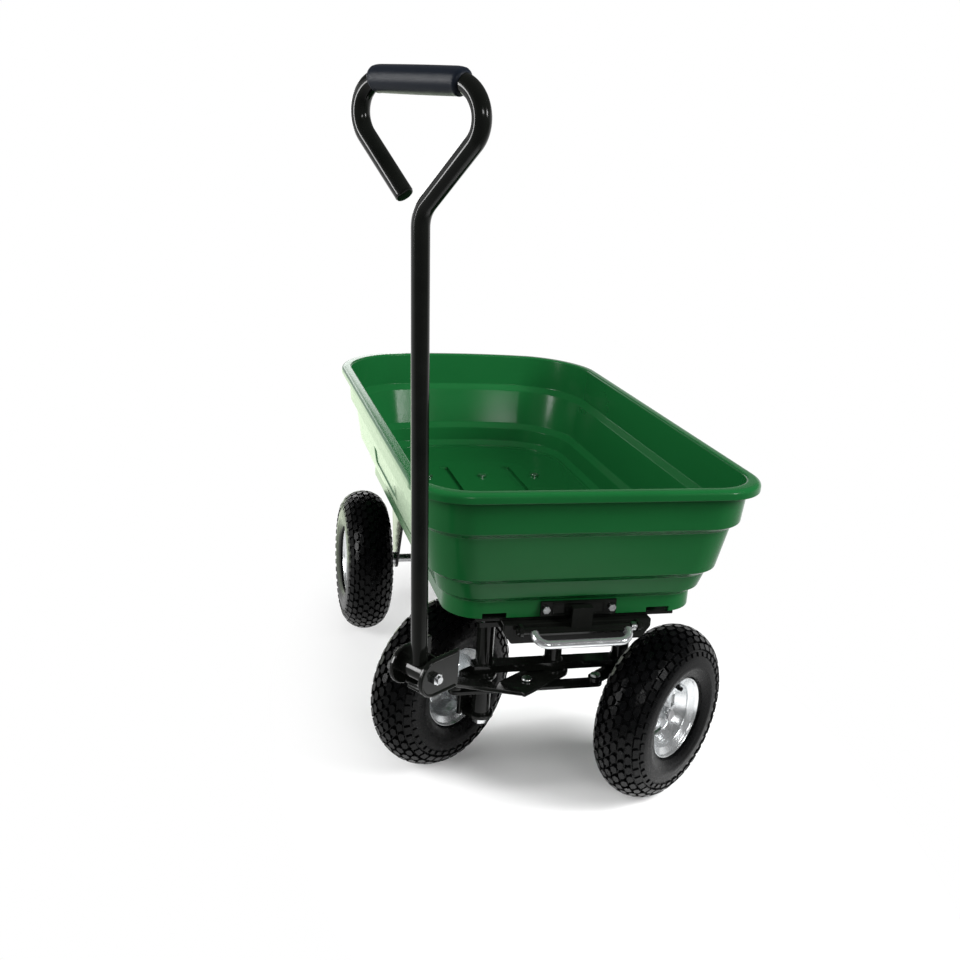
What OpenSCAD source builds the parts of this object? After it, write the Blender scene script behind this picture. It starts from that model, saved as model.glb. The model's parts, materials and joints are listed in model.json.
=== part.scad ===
// Tipping garden dump cart: moulded tray hinged over a steel chassis with drawbar steering.
// Built in cart coordinates (X across, Y to the rear from the front rim, Z up from the ground),
// steered to one side as it stands, then moved so that the origin is under the middle of its box.

/* [Tray] */
// Length over the rim
tray_l = 906; // [840:1:980]
// Width over the rim
tray_w = 505; // [460:1:530]
// Wall thickness of the moulding
tray_wall = 4; // [3:0.5:6]
// Thickness of the floor
floor_t = 5; // [4:0.5:8]
// Corner radius at the front
front_corner_r = 75; // [60:1:95]
// Corner radius at the rear
rear_corner_r = 110; // [90:1:150]
// How far the rear edge bows outward
rear_bow = 40; // [10:1:60]
// Height of the turned-down rim lip
lip_h = 14; // [8:1:20]
// Overhang of the rim outside the wall
lip_w = 13; // [10:0.5:18]
// Height of the top band of the wall
band_1_h = 44; // [30:1:60]
// Height of the middle band of the wall
band_2_h = 65; // [50:1:85]
// Height of the bottom band of the wall
band_3_h = 25; // [18:1:40]
// Inward lean of each band, from its top to its bottom
band_draft = 7; // [3:0.5:10]
// Height of the sloped ledge between bands
ledge_h = 9; // [6:0.5:14]
// Width of the sloped ledge between bands
ledge_w = 10; // [6:0.5:14]
// Height of the skirt below the bottom band
skirt_h = 35; // [28:1:50]
// Height of the upright foot of the wall inside, between the floor and the lowest ledge
foot_h = 3; // [1:0.5:5]
// Width of a floor groove
groove_w = 10; // [4:1:16]
// Depth of a floor groove
groove_d = 2; // [1:0.5:2.5]
// Spacing of the floor grooves
groove_pitch = 122; // [100:1:140]
// Diameter of the floor bolts
floor_bolt_d = 8; // [6:1:10]

/* [Wheels] */
// Outside diameter of a tyre
wheel_d = 270; // [240:1:290]
// Width of a tyre
tyre_w = 94; // [80:1:98]
// Thickness of the tyre wall, tread included
tyre_wall = 10; // [9:0.5:13]
// Diameter of the bead seat on the rim
bead_d = 104; // [96:1:108]
// Diameter over the rim flanges
rim_d = 126; // [120:1:132]
// Width of the rim between its flanges
rim_w = 54; // [46:1:58]
// Sheet thickness of the rim
rim_t = 2.5; // [2:0.5:4]
// Outside diameter of the hub tube
hub_d = 40; // [38:1:46]
// Length of the hub tube
hub_l = 52; // [48:1:60]
// Distance from the wheel's middle plane in to the hub's middle
hub_offset = 21; // [16:1:22]
// Outside diameter of a wheel bearing
bearing_d = 35; // [30:1:36]
// Width of a wheel bearing
bearing_w = 11; // [8:1:14]
// Diameter of the wheel spindles and the rear axle
spindle_d = 16; // [12:1:18]

/* [Steering] */
// Front axle position behind the front rim
axle_y = 149; // [140:1:160]
// Kingpin offset from the centre line
kingpin_x = 108; // [100:1:116]
// Wheel centre offset outside its kingpin
spindle_off = 80; // [76:1:88]
// Angle to which the wheels and the drawbar stand turned
steer_rest = 55.5; // [0:0.5:57]
// Diameter of the kingpins and the centre pivot
kingpin_d = 14; // [10:1:16]
// Length of the steering arms
arm_l = 60; // [54:1:66]
// Width of the steering arms and the tie bar
arm_w = 22; // [18:1:26]
// Plate thickness of the steering parts
plate_t = 6; // [4:0.5:8]
// Diameter of the tie bar pins
tie_pin_d = 10; // [8:1:12]
// Width of the axle beam
beam_w = 25; // [20:1:32]
// Height of the axle beam
beam_h = 12; // [10:1:20]
// Underside of the axle beam above the ground
beam_z = 184; // [176:1:192]

/* [Drawbar and handle] */
// Reach of the clevis bolt in front of the centre pivot
drawbar_l = 294; // [280:1:310]
// Height of the clevis bolt
clevis_z = 278; // [262:1:290]
// Width of the drawbar arm
drawbar_w = 40; // [30:1:44]
// Height of the clevis ears
ear_d = 54; // [46:1:60]
// Clear width between the clevis ears
clevis_gap = 46; // [44:1:54]
// Thickness of a clevis ear
ear_t = 5; // [3:0.5:6]
// Diameter of the clevis bolt
clevis_bolt_d = 10; // [8:1:12]
// Outside diameter of the handle tube
tube_d = 22; // [20:1:25]
// Wall thickness of the handle tube
tube_wall = 2; // [1.5:0.5:3]
// Height of the top bar above the clevis bolt, along the handle
handle_l = 722; // [680:1:780]
// Width of the handle loop between tube centres
loop_w = 184; // [164:1:210]
// Sideways offset of the loop from the line of the shaft
loop_shift = -4; // [-10:1:10]
// Bend radius of the loop corners
loop_r = 36; // [30:1:42]
// Bend radius at the neck
neck_r = 40; // [30:1:60]
// Angle of the loop's legs from the handle shaft
leg_angle = 45; // [40:1:50]
// Straight length of the cut free leg
free_leg_l = 87; // [50:1:96]
// Forward lean of the standing handle
handle_lean = 4; // [0:0.5:8]
// Outside diameter of the foam grip
grip_d = 31; // [28:1:36]
// Angle over which the grip follows each loop corner
grip_wrap = 18; // [10:1:60]

/* [Chassis] */
// Clearance between the front tyres and the rails above them
rail_gap = 2; // [1:0.5:12]
// Height of the chassis rails and the cross member
rail_h = 30; // [24:1:34]
// Width of a chassis rail
rail_w = 25; // [20:1:28]
// Rail offset from the centre line
rail_x = 80; // [76:1:82]
// Wall thickness of the rails
rail_wall = 2.5; // [2:0.5:4]
// Length of the front cross member
cross_l = 220; // [200:1:230]
// Depth of the front cross member
cross_w = 40; // [34:1:46]
// Front face of the cross member behind the front rim
cross_y = 55; // [52:1:58]
// Chamfer at the ends of the cross member
cross_chamfer = 12; // [6:1:16]
// Thickness of the bolster plate
bolster_t = 8; // [6:1:9]
// Diameter of the axle posts
post_d = 26; // [24:1:30]
// Rear axle position behind the front rim
rear_y = 719; // [700:1:740]
// Rear wheel offset from the centre line
rear_x = 205; // [200:1:215]
// Rear bracket offset from the centre line
bracket_x = 140; // [130:1:142]
// Thickness of a rear bracket
bracket_t = 5; // [4:0.5:8]
// Length of a rear bracket along the rear cross tube
bracket_l = 120; // [100:1:130]
// Side of the square rear cross tube
rear_tube = 25; // [20:1:28]

/* [Tipping gear] */
// Hinge position behind the front rim
hinge_y = 815; // [812:1:818]
// Diameter of the hinge pin
hinge_d = 12; // [10:1:14]
// Offset of the bed rails from the centre line
bed_rail_x = 52; // [46:1:54]
// Width of a bed rail
bed_rail_w = 18; // [14:1:20]
// Thickness of the bed cross bars and the front bar
bed_bar_t = 5; // [4:0.5:8]
// Width of the bed cross bars and the front bar
bed_bar_w = 36; // [30:1:40]
// Clearance between the skirt and the ends of the bed cross bars
bed_bar_inset = 38; // [30:1:46]
// Distance from the skirt's sides in to the ends of the front bar
front_bar_inset = 39; // [20:1:50]
// Thickness of a hinge strap
strap_t = 5; // [4:0.5:6]

/* [Latch] */
// Rod diameter of the latch handle
latch_rod_d = 9; // [7:0.5:10]
// Width of the latch handle between rod centres
latch_w = 138; // [120:1:146]
// Reach of the latch handle in front of its pivot
latch_reach = 27; // [24:1:34]
// Downward slope of the latch handle
latch_slope = 22; // [10:1:30]
// Bend radius of the latch handle
latch_r = 10; // [8:0.5:11]
// Thickness of the latch plate and the catch bracket
latch_t = 4; // [3:0.5:5]
// Length of the catch bracket
catch_l = 112; // [104:1:120]
// Height of the catch bracket
catch_h = 22; // [20:1:23]
// Spacing of the catch bolts
catch_bolt_pitch = 98; // [88:1:100]
// Diameter of the catch bolts
catch_bolt_d = 6; // [5:1:8]
// Length of the return spring on the latch pivot
spring_l = 9; // [6:1:10]

/* [Hidden] */

$fn = 64;

// Clearances
run_fit = 0.05;
side_gap = 0.3;
through = 1;

// Fasteners
bolt_head_h = 8;
bolt_head_d = 22;
nut_h = 11;
nut_d = 22;
washer_t = 2.7;
washer_d = 30;
thread_end = 4;
small_head_ratio = 2;
small_nut_ratio = 1.8;

// Wheel sizes
wheel_r = wheel_d / 2;
tyre_r = tyre_w / 2;
tyre_ring_r = wheel_r - tyre_r;
rim_half = rim_w / 2;
bead_h = 6;
hub_out = hub_l / 2 - hub_offset;
hub_in = hub_l / 2 + hub_offset;
bearing_step = 3;
dish_w = 10;
dish_l = 18;
web_slots = 4;
web_slot_l = 14;
web_slot_w = 10;
web_slot_r = (hub_d + bead_d) / 4;
left = -1;
right = 1;

// Steering places and levels, from the axle beam downward
steer = -steer_rest;
forward = [sin(steer), -cos(steer), 0];
side = [cos(steer), sin(steer), 0];
beam_top = beam_z + beam_h;
yoke_boss_h = 3;
arm_z = beam_z - yoke_boss_h - plate_t;
tie_gap = 1;
tie_z = arm_z - tie_gap - plate_t;
knuckle_drop = 26;
knuckle_bottom_z = wheel_r - knuckle_drop;
knuckle_plate_x = 20;
knuckle_plate_l = 50;
sleeve_wall = 7;
boss_wall = 13;
shoulder_h = 4;
sleeve_d = kingpin_d + 2 * sleeve_wall;
boss_d = kingpin_d + 2 * boss_wall;
shoulder_d = spindle_d + 2 * shoulder_h;
spindle_tip = hub_out + side_gap + washer_t + nut_h + thread_end;

// Drawbar and handle places
clevis_pin = [0, axle_y, clevis_z] + drawbar_l * forward;
yoke_flat_l = 95;
yoke_w = 50;
clevis_back = 46;
eye_d = 26;
loop_half = loop_w / 2;
bar_half = loop_half - loop_r;
loop_centre_s = handle_l - loop_r;
leg_top_w = loop_shift + bar_half + loop_r * cos(leg_angle);
leg_top_s = loop_centre_s - loop_r * sin(leg_angle);
leg_drop = leg_top_w / tan(leg_angle);
neck_tangent = neck_r * tan(leg_angle / 2);
leg_run = leg_top_w / sin(leg_angle) - neck_tangent;
neck_s = leg_top_s - leg_drop;
shaft_l = neck_s - neck_tangent;
corner_turn = 90 + leg_angle;
tube_sides = 24;
bend_step = 9;

// Chassis levels
rail_z = wheel_d + rail_gap;
frame_top = rail_z + rail_h;
bolster_z = rail_z - bolster_t;
bolster_w = 44;
bolster_end = 17;
rail_front = cross_y + cross_w;
hinge_drop = 3;
hinge_z = frame_top - rail_h / 2 - hinge_drop;
hinge_pin_end = 6;
rail_overhang = 13;
bracket_eye_d = 36;
rear_tip = rear_x + spindle_tip;

// Tray levels, from the chassis upward
skirt_z = frame_top + side_gap + bed_bar_t;
band_foot = skirt_z + skirt_h;
ledge_foot = band_foot - ledge_h;
floor_z = ledge_foot + tray_wall / 2 - foot_h;
floor_under = floor_z - floor_t;
z_band_3 = band_foot + band_3_h;
z_band_2 = z_band_3 + ledge_h;
z_band_2_top = z_band_2 + band_2_h;
z_band_1 = z_band_2_top + ledge_h;
rim_z = z_band_1 + band_1_h + lip_h + tray_wall;

// Tray insets from the rim outline, the lean of a band growing with its height
top_draft_share = 0.6;
middle_draft_share = 1.6;
in_band_1 = lip_w + band_draft * top_draft_share;
in_band_2_top = in_band_1 + ledge_w;
in_band_2 = in_band_2_top + band_draft * middle_draft_share;
in_band_3_top = in_band_2 + ledge_w;
in_band_3 = in_band_3_top + band_draft;
in_skirt = in_band_3 + ledge_w;
front_corner_shrink = 0.35;
rear_corner_shrink = 0.5;
rim_round_out = 3;
rim_round_in = 2;
front_corner_steps = 8;
rear_corner_steps = 10;
rear_edge_steps = 6;
notch_inset = 65;
notch_x = tray_w / 2 - in_skirt - notch_inset;
notch_w = 35;
notch_h = 8;
groove_start = 170;
groove_rear = 214;
groove_end = tray_l - groove_rear;

// Bed frame under the floor
first_bar_y = 140;
middle_bar_inset = 526;
last_bar_inset = 276;
cross_bar_ys = [first_bar_y, tray_l - middle_bar_inset, tray_l - last_bar_inset];
bed_bar_l = tray_w - 2 * (in_skirt + tray_wall + bed_bar_inset);
front_bar_l = tray_w - 2 * (in_skirt + front_bar_inset);
bed_bar_z = floor_under - bed_bar_t;
bed_rail_inset = 6;
bed_rail_tail = 12;
bed_rail_front = in_skirt + tray_wall + bed_rail_inset;
bed_rail_rear = hinge_y + bed_rail_tail;
bolt_end = 42;
bolt_row_x = bed_bar_l / 2 - bolt_end;
strap_w = 30;

// Latch and catch
latch_ear_wall = 3;
latch_pin_d = latch_rod_d + 1;
latch_ear_d = latch_pin_d + 2 * latch_ear_wall;
latch_y = cross_y - latch_ear_d / 2;
latch_drop = 2;
latch_z = frame_top - latch_pin_d / 2 - latch_drop;
latch_half = latch_w / 2;
latch_ear_t = 5;
spring_gap = 1;
spring_x = latch_half + latch_rod_d / 2 + spring_gap;
ear_x = spring_x + spring_l + spring_gap + latch_ear_t / 2;
nose_w = 30;
nose_rise = 21;
nose_top = skirt_z + nose_rise;
catch_lift = 2;
catch_z = skirt_z + catch_lift;
catch_nut_reach = small_nut_ratio * catch_bolt_d / 2 + side_gap;
catch_bolt_z = min(catch_z + catch_h / 2, floor_under - catch_nut_reach);
catch_face = in_skirt;
keeper_w = 40;
keeper_h = 5;
keeper_lift = 11;
keeper_z = skirt_z + keeper_lift;
keeper_reach = 6;
catch_front = catch_face - latch_t;
nose_gap = 0.5;

// Middle of the overall box, which the origin lies under
function handle_point(w, s) =
    clevis_pin + w * side + s * ([0, 0, cos(handle_lean)] + forward * sin(handle_lean));
function loop_reach(k) =
    loop_r * norm([side[k], forward[k] * sin(handle_lean)]) + tube_d / 2;
box_left = handle_point(loop_shift - bar_half, loop_centre_s)[0] - loop_reach(0);
box_right = max(
    kingpin_x + spindle_off * side[0] + tyre_ring_r * abs(forward[0]) + tyre_r,
    rear_tip,
    tray_w / 2
);
box_front = handle_point(loop_shift + bar_half, loop_centre_s)[1] - loop_reach(1);
box_middle = [(box_left + box_right) / 2, (box_front + tray_l) / 2, 0];

// Shared shapes

module to_origin() {
    translate(-box_middle) children();
}

module along_x(l) {
    rotate([0, 90, 0]) translate([0, 0, -l / 2]) children();
}

module rod_x(d, l) {
    rotate([0, 90, 0]) cylinder(d = d, h = l, center = true);
}

module hex(d, h) {
    cylinder(d = d, h = h, $fn = 6);
}

module box(size, at) {
    translate([at[0] - size[0] / 2, at[1] - size[1] / 2, at[2]]) cube(size);
}

// Steered frame of a body that turns about the vertical through x on the front axle
module steered(x) {
    translate([x, axle_y, 0]) rotate([0, 0, steer]) children();
}

// Frame of the standing handle: X along the clevis bolt, Z along the shaft
module on_handle() {
    translate(clevis_pin) rotate([0, 0, steer]) rotate([handle_lean, 0, 0]) children();
}

// Frame of a front knuckle, with X pointing outward to its wheel
module on_knuckle(hand) {
    steered(hand * kingpin_x) mirror([hand == left ? 1 : 0, 0, 0]) children();
}

// Frame of a front wheel, with X pointing outward
module on_front_wheel(hand) {
    on_knuckle(hand) translate([spindle_off, 0, wheel_r]) children();
}

// Frame of a rear wheel, with X pointing outward
module on_rear_wheel(hand) {
    mirror([hand == left ? 1 : 0, 0, 0]) translate([rear_x, rear_y, wheel_r]) children();
}

module ring(d_out, d_in) {
    difference() {
        circle(d = d_out);
        if (d_in > 0) circle(d = d_in);
    }
}

// Bent rod in the XZ plane, from Z upward: each step is [straight length] or [radius, turn to +X]
module bent_rod(steps, d, i = 0) {
    if (i < len(steps)) {
        s = steps[i];
        if (len(s) == 1) {
            cylinder(d = d, h = s[0]);
            translate([0, 0, s[0]]) bent_rod(steps, d, i + 1);
        } else {
            mirror([s[1] < 0 ? 1 : 0, 0, 0])
                translate([s[0], 0, 0])
                    rotate([90, 0, 180])
                        rotate_extrude(angle = abs(s[1]))
                            translate([s[0], 0]) circle(d = d);
            translate([sign(s[1]) * s[0] * (1 - cos(s[1])), 0, s[0] * sin(abs(s[1]))])
                rotate([0, s[1], 0])
                    bent_rod(steps, d, i + 1);
        }
    }
}

// A pose on a bent tube is [x, z, heading], with the heading turned from Z toward X
function after_run(p, l) = [p[0] + l * sin(p[2]), p[1] + l * cos(p[2]), p[2]];
function after_bend(p, r, turn) =
    let(k = sign(turn) * r, h = p[2] + turn)
    [p[0] + k * (cos(p[2]) - cos(h)), p[1] - k * (sin(p[2]) - sin(h)), h];
// Poses along a tube whose steps are [straight length] or [bend radius, turn]
function trace(steps, p, i = 0) =
    i == len(steps) ? [p] :
    let(s = steps[i])
    len(s) == 1 ? concat([p], trace(steps, after_run(p, s[0]), i + 1)) :
    let(n = ceil(abs(s[1]) / bend_step))
    concat(
        [for (k = [0:n - 1]) after_bend(p, s[0], s[1] * k / n)],
        trace(steps, after_bend(p, s[0], s[1]), i + 1)
    );
function tube_ring(p, d) = [for (j = [0:tube_sides - 1])
    let(b = 360 * j / tube_sides, w = d / 2 * cos(b))
    [p[0] + w * cos(p[2]), d / 2 * sin(b), p[1] - w * sin(p[2])]];

// Tube along the poses, out along its outside and back along its bore
module swept_tube(poses, d_out, d_in) {
    m = len(poses);
    rings = concat(
        [for (p = poses) tube_ring(p, d_out)],
        [for (k = [m - 1:-1:0]) tube_ring(poses[k], d_in)]
    );
    n = tube_sides;
    faces = [for (k = [0:2 * m - 1], j = [0:n - 1])
        let(a = k * n, b = (k + 1) % (2 * m) * n, c = (j + 1) % n)
        each [[a + j, b + j, b + c], [a + j, b + c, a + c]]];
    polyhedron([for (r = rings) each r], faces);
}

// Tray

// Plan outline of the tray, drawn in from the rim by inset, counter-clockwise from the front left
function plan(inset) =
    let(
        half = tray_w / 2 - inset,
        rf = front_corner_r - front_corner_shrink * inset,
        rr = rear_corner_r - rear_corner_shrink * inset,
        rear = tray_l - inset,
        xr = half - rr
    )
    concat(
        [for (i = [0:front_corner_steps]) let(a = 180 + 90 * i / front_corner_steps)
            [-half + rf + rf * cos(a), inset + rf + rf * sin(a)]],
        [for (i = [0:front_corner_steps]) let(a = 270 + 90 * i / front_corner_steps)
            [half - rf + rf * cos(a), inset + rf + rf * sin(a)]],
        [for (i = [0:rear_corner_steps]) let(a = 90 * i / rear_corner_steps, x = xr + rr * cos(a))
            [x, rear - rr + rr * sin(a) - rear_bow * pow(x / half, 2)]],
        [for (i = [1:rear_edge_steps - 1]) let(x = xr - 2 * xr * i / rear_edge_steps)
            [x, rear - rear_bow * pow(x / half, 2)]],
        [for (i = [0:rear_corner_steps]) let(a = 90 + 90 * i / rear_corner_steps, x = -xr + rr * cos(a))
            [x, rear - rr + rr * sin(a) - rear_bow * pow(x / half, 2)]]
    );

// Section of the moulding as [inset, height], from the floor up, over the rim and down to the skirt
tray_section = [
    [in_skirt + tray_wall, floor_z],
    [in_skirt + tray_wall, ledge_foot + tray_wall / 2],
    [in_band_3 + tray_wall, band_foot + tray_wall / 2],
    [in_band_3_top + tray_wall, z_band_3 + tray_wall / 2],
    [in_band_2 + tray_wall, z_band_2 + tray_wall / 2],
    [in_band_2_top + tray_wall, z_band_2_top + tray_wall / 2],
    [in_band_1 + tray_wall, z_band_1 + tray_wall / 2],
    [lip_w + tray_wall, rim_z - rim_round_in],
    [lip_w + tray_wall - rim_round_in, rim_z],
    [rim_round_out, rim_z],
    [0, rim_z - rim_round_out],
    [0, rim_z - lip_h],
    [tray_wall, rim_z - lip_h],
    [tray_wall, rim_z - tray_wall],
    [lip_w, rim_z - tray_wall],
    [in_band_1, z_band_1],
    [in_band_2_top, z_band_2_top],
    [in_band_2, z_band_2],
    [in_band_3_top, z_band_3],
    [in_band_3, band_foot],
    [in_skirt, ledge_foot],
    [in_skirt, skirt_z],
    [in_skirt + tray_wall, skirt_z],
    [in_skirt + tray_wall, floor_under]
];

module tray_shell() {
    rings = [for (p = tray_section) [for (q = plan(p[0])) [q[0], q[1], p[1]]]];
    n = len(rings[0]);
    last = len(rings) - 1;
    points = [for (r = rings) each r];
    walls = [for (k = [0:last - 1], i = [0:n - 1])
        let(a = k * n + i, b = k * n + (i + 1) % n)
        each [[a, b, b + n], [a, b + n, a + n]]];
    floor_top = [for (i = [n - 1:-1:0]) i];
    floor_bottom = [for (i = [0:n - 1]) last * n + i];
    polyhedron(points, concat([floor_top, floor_bottom], walls));
}

function floor_bolt_places() = concat(
    [for (x = [-bolt_row_x, bolt_row_x], y = cross_bar_ys) [x, y]],
    [[0, cross_bar_ys[2]]]
);

module tray() {
    color("forestgreen") to_origin() difference() {
        tray_shell();
        for (k = [-1, 1])
            box([groove_w, groove_end - groove_start, groove_d + through],
                [k * groove_pitch / 2, (groove_start + groove_end) / 2, floor_z - groove_d]);
        for (k = [-1, 1])
            box([notch_w, 2 * tray_wall, notch_h + through],
                [k * notch_x, in_skirt + tray_wall / 2, skirt_z - through]);
        for (p = floor_bolt_places())
            translate([p[0], p[1], floor_under - through])
                cylinder(d = floor_bolt_d + 2 * run_fit, h = floor_t + 2 * through);
        for (k = [-1, 1])
            translate([k * catch_bolt_pitch / 2, in_skirt - through, catch_bolt_z])
                rotate([-90, 0, 0])
                    cylinder(d = catch_bolt_d + 2 * run_fit, h = tray_wall + 2 * through);
    }
}

module catch_bracket() {
    color("black") to_origin() difference() {
        union() {
            box([catch_l, latch_t, catch_h], [0, catch_face - latch_t / 2, catch_z]);
            box([keeper_w, keeper_reach, keeper_h], [0, catch_front - keeper_reach / 2, keeper_z]);
        }
        for (k = [-1, 1])
            translate([k * catch_bolt_pitch / 2, catch_face + through, catch_bolt_z])
                rotate([90, 0, 0])
                    cylinder(d = catch_bolt_d + 2 * run_fit, h = latch_t + 2 * through);
    }
}

module catch_bolts() {
    head_h = 5;
    color("silver") to_origin()
        for (k = [-1, 1])
            translate([k * catch_bolt_pitch / 2, catch_front, catch_bolt_z])
                rotate([-90, 0, 0]) {
                    translate([0, 0, -head_h]) hex(small_head_ratio * catch_bolt_d, head_h);
                    cylinder(d = catch_bolt_d, h = latch_t + tray_wall + head_h);
                    translate([0, 0, latch_t + tray_wall]) hex(small_nut_ratio * catch_bolt_d, head_h);
                }
}

module bed_rail(hand) {
    l = bed_rail_rear - bed_rail_front;
    h = bed_bar_z - skirt_z;
    translate([hand * bed_rail_x, (bed_rail_front + bed_rail_rear) / 2, skirt_z]) difference() {
        box([bed_rail_w, l, h], [0, 0, 0]);
        box([bed_rail_w - 2 * rail_wall, l + 2 * through, h - 2 * rail_wall], [0, 0, rail_wall]);
    }
}

module bed_rail_left() {
    color("black") to_origin() bed_rail(left);
}

module bed_rail_right() {
    color("black") to_origin() bed_rail(right);
}

module bed_crossbars() {
    color("black") to_origin() difference() {
        for (y = cross_bar_ys)
            box([bed_bar_l, bed_bar_w, bed_bar_t], [0, y, bed_bar_z]);
        for (p = floor_bolt_places())
            translate([p[0], p[1], bed_bar_z - through])
                cylinder(d = floor_bolt_d + 2 * run_fit, h = bed_bar_t + 2 * through);
    }
}

module bed_front_bar() {
    color("black") to_origin()
        box([front_bar_l, bed_bar_w, bed_bar_t],
            [0, in_skirt + tray_wall / 2 + bed_bar_w / 2, skirt_z - bed_bar_t]);
}

// Straps from the bed rails down to the hinge pin
module hinge_straps() {
    strap_x = bed_rail_x - bed_rail_w / 2 - strap_t / 2;
    color("dimgray") to_origin()
        for (k = [-1, 1])
            difference() {
                union() {
                    translate([k * strap_x, hinge_y, hinge_z]) rod_x(strap_w, strap_t);
                    box([strap_t, strap_w, bed_bar_z - hinge_z], [k * strap_x, hinge_y, hinge_z]);
                }
                translate([k * strap_x, hinge_y, hinge_z]) rod_x(hinge_d + 2 * run_fit, 2 * strap_t);
            }
}

module floor_bolts() {
    head_h = 4;
    grip_h = 7;
    tail_h = 8;
    color("silver") to_origin()
        for (p = floor_bolt_places()) {
            translate([p[0], p[1], floor_z]) cylinder(d = small_head_ratio * floor_bolt_d, h = head_h);
            translate([p[0], p[1], bed_bar_z - tail_h])
                cylinder(d = floor_bolt_d, h = floor_z - bed_bar_z + tail_h);
            translate([p[0], p[1], bed_bar_z - grip_h]) hex(small_nut_ratio * floor_bolt_d, grip_h);
        }
}

// Chassis

module cross_member() {
    half = cross_l / 2;
    color("black") to_origin() difference() {
        translate([0, cross_y + cross_w, rail_z]) rotate([90, 0, 0]) linear_extrude(cross_w)
            polygon([
                [-half, rail_h], [-half, rail_h - cross_chamfer], [-half + cross_chamfer, 0],
                [half - cross_chamfer, 0], [half, rail_h - cross_chamfer], [half, rail_h]
            ]);
        box([cross_l - 2 * cross_chamfer - 2 * rail_wall, cross_w - 2 * rail_wall, rail_h],
            [0, cross_y + cross_w / 2, rail_z - rail_wall]);
    }
}

module rail(hand) {
    l = hinge_y + rail_overhang - rail_front;
    translate([hand * rail_x, 0, 0]) difference() {
        box([rail_w, l, rail_h], [0, rail_front + l / 2, rail_z]);
        box([rail_w - 2 * rail_wall, l + 2 * through, rail_h - 2 * rail_wall],
            [0, rail_front + l / 2, rail_z + rail_wall]);
        translate([0, hinge_y, hinge_z]) rod_x(hinge_d, 2 * rail_w);
    }
}

module rail_left() {
    color("black") to_origin() rail(left);
}

module rail_right() {
    color("black") to_origin() rail(right);
}

module pivot_places() {
    for (x = [-kingpin_x, 0, kingpin_x])
        translate([x, axle_y, 0]) children();
}

module bolster() {
    color("black") to_origin() difference() {
        box([2 * (kingpin_x + bolster_end), bolster_w, bolster_t], [0, axle_y, bolster_z]);
        pivot_places()
            translate([0, 0, bolster_z - through]) cylinder(d = kingpin_d, h = bolster_t + 2 * through);
    }
}

module axle_beam() {
    color("dimgray") to_origin() difference() {
        box([2 * (kingpin_x + bolster_end), beam_w, beam_h], [0, axle_y, beam_z]);
        pivot_places()
            translate([0, 0, beam_z - through]) cylinder(d = kingpin_d, h = beam_h + 2 * through);
    }
}

module axle_posts() {
    color("black") to_origin() pivot_places() translate([0, 0, beam_top])
        linear_extrude(bolster_z - beam_top) ring(post_d, kingpin_d);
}

// Top of the nut under a pivot: the drawbar plate in the middle, the knuckle's foot at the sides
function pivot_nut_top(x) = x == 0 ? arm_z - side_gap : knuckle_bottom_z - side_gap;

module pivot_bolts() {
    color("silver") to_origin()
        for (x = [-kingpin_x, 0, kingpin_x]) {
            bottom = pivot_nut_top(x) - nut_h - thread_end / 2;
            translate([x, axle_y, bottom]) cylinder(d = kingpin_d, h = rail_z - bottom);
            translate([x, axle_y, rail_z]) hex(bolt_head_d, bolt_head_h);
        }
}

module pivot_nuts() {
    color("silver") to_origin()
        for (x = [-kingpin_x, 0, kingpin_x])
            translate([x, axle_y, pivot_nut_top(x) - nut_h]) difference() {
                hex(nut_d, nut_h);
                translate([0, 0, -through]) cylinder(d = kingpin_d, h = nut_h + 2 * through);
            }
}

module rear_cross() {
    l = 2 * bracket_x - bracket_t;
    color("black") to_origin() translate([0, rear_y, rail_z - rear_tube / 2]) difference() {
        cube([l, rear_tube, rear_tube], center = true);
        cube([l + 2 * through, rear_tube - 2 * rail_wall, rear_tube - 2 * rail_wall], center = true);
    }
}

// Three-cornered plate from the rear cross tube down to the axle
module rear_bracket(hand) {
    top = rail_z - wheel_r;
    shoulder = top - rear_tube;
    eye = bracket_eye_d / 2;
    translate([hand * bracket_x, rear_y, wheel_r]) difference() {
        union() {
            rod_x(bracket_eye_d, bracket_t);
            rotate([90, 0, 90]) translate([0, 0, -bracket_t / 2]) linear_extrude(bracket_t)
                polygon([
                    [-eye, 0], [eye, 0], [bracket_l / 2, shoulder], [bracket_l / 2, top],
                    [-bracket_l / 2, top], [-bracket_l / 2, shoulder]
                ]);
        }
        rod_x(spindle_d, 2 * bracket_t);
    }
}

module rear_bracket_left() {
    color("black") to_origin() rear_bracket(left);
}

module rear_bracket_right() {
    color("black") to_origin() rear_bracket(right);
}

module rear_axle() {
    color("silver") to_origin() translate([0, rear_y, wheel_r]) rod_x(spindle_d, 2 * rear_tip);
}

module rear_collars() {
    inner = bracket_x + bracket_t / 2;
    l = rear_x - hub_in - side_gap - inner;
    color("dimgray") to_origin()
        for (k = [-1, 1])
            translate([k * (inner + l / 2), rear_y, wheel_r]) along_x(l)
                linear_extrude(l) ring(shoulder_d, spindle_d);
}

// Washer and nut that hold a hub, with X pointing outward from the wheel's middle
module hub_nut() {
    translate([hub_out + side_gap, 0, 0]) rotate([0, 90, 0]) difference() {
        union() {
            cylinder(d = washer_d, h = washer_t);
            translate([0, 0, washer_t]) hex(nut_d, nut_h);
        }
        translate([0, 0, -through]) cylinder(d = spindle_d, h = washer_t + nut_h + 2 * through);
    }
}

module rear_axle_nuts() {
    color("silver") to_origin()
        for (hand = [left, right])
            on_rear_wheel(hand) hub_nut();
}

module hinge_pin() {
    l = 2 * (rail_x + rail_w / 2 + hinge_pin_end);
    color("silver") to_origin() translate([0, hinge_y, hinge_z]) rod_x(hinge_d, l);
}

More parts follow.
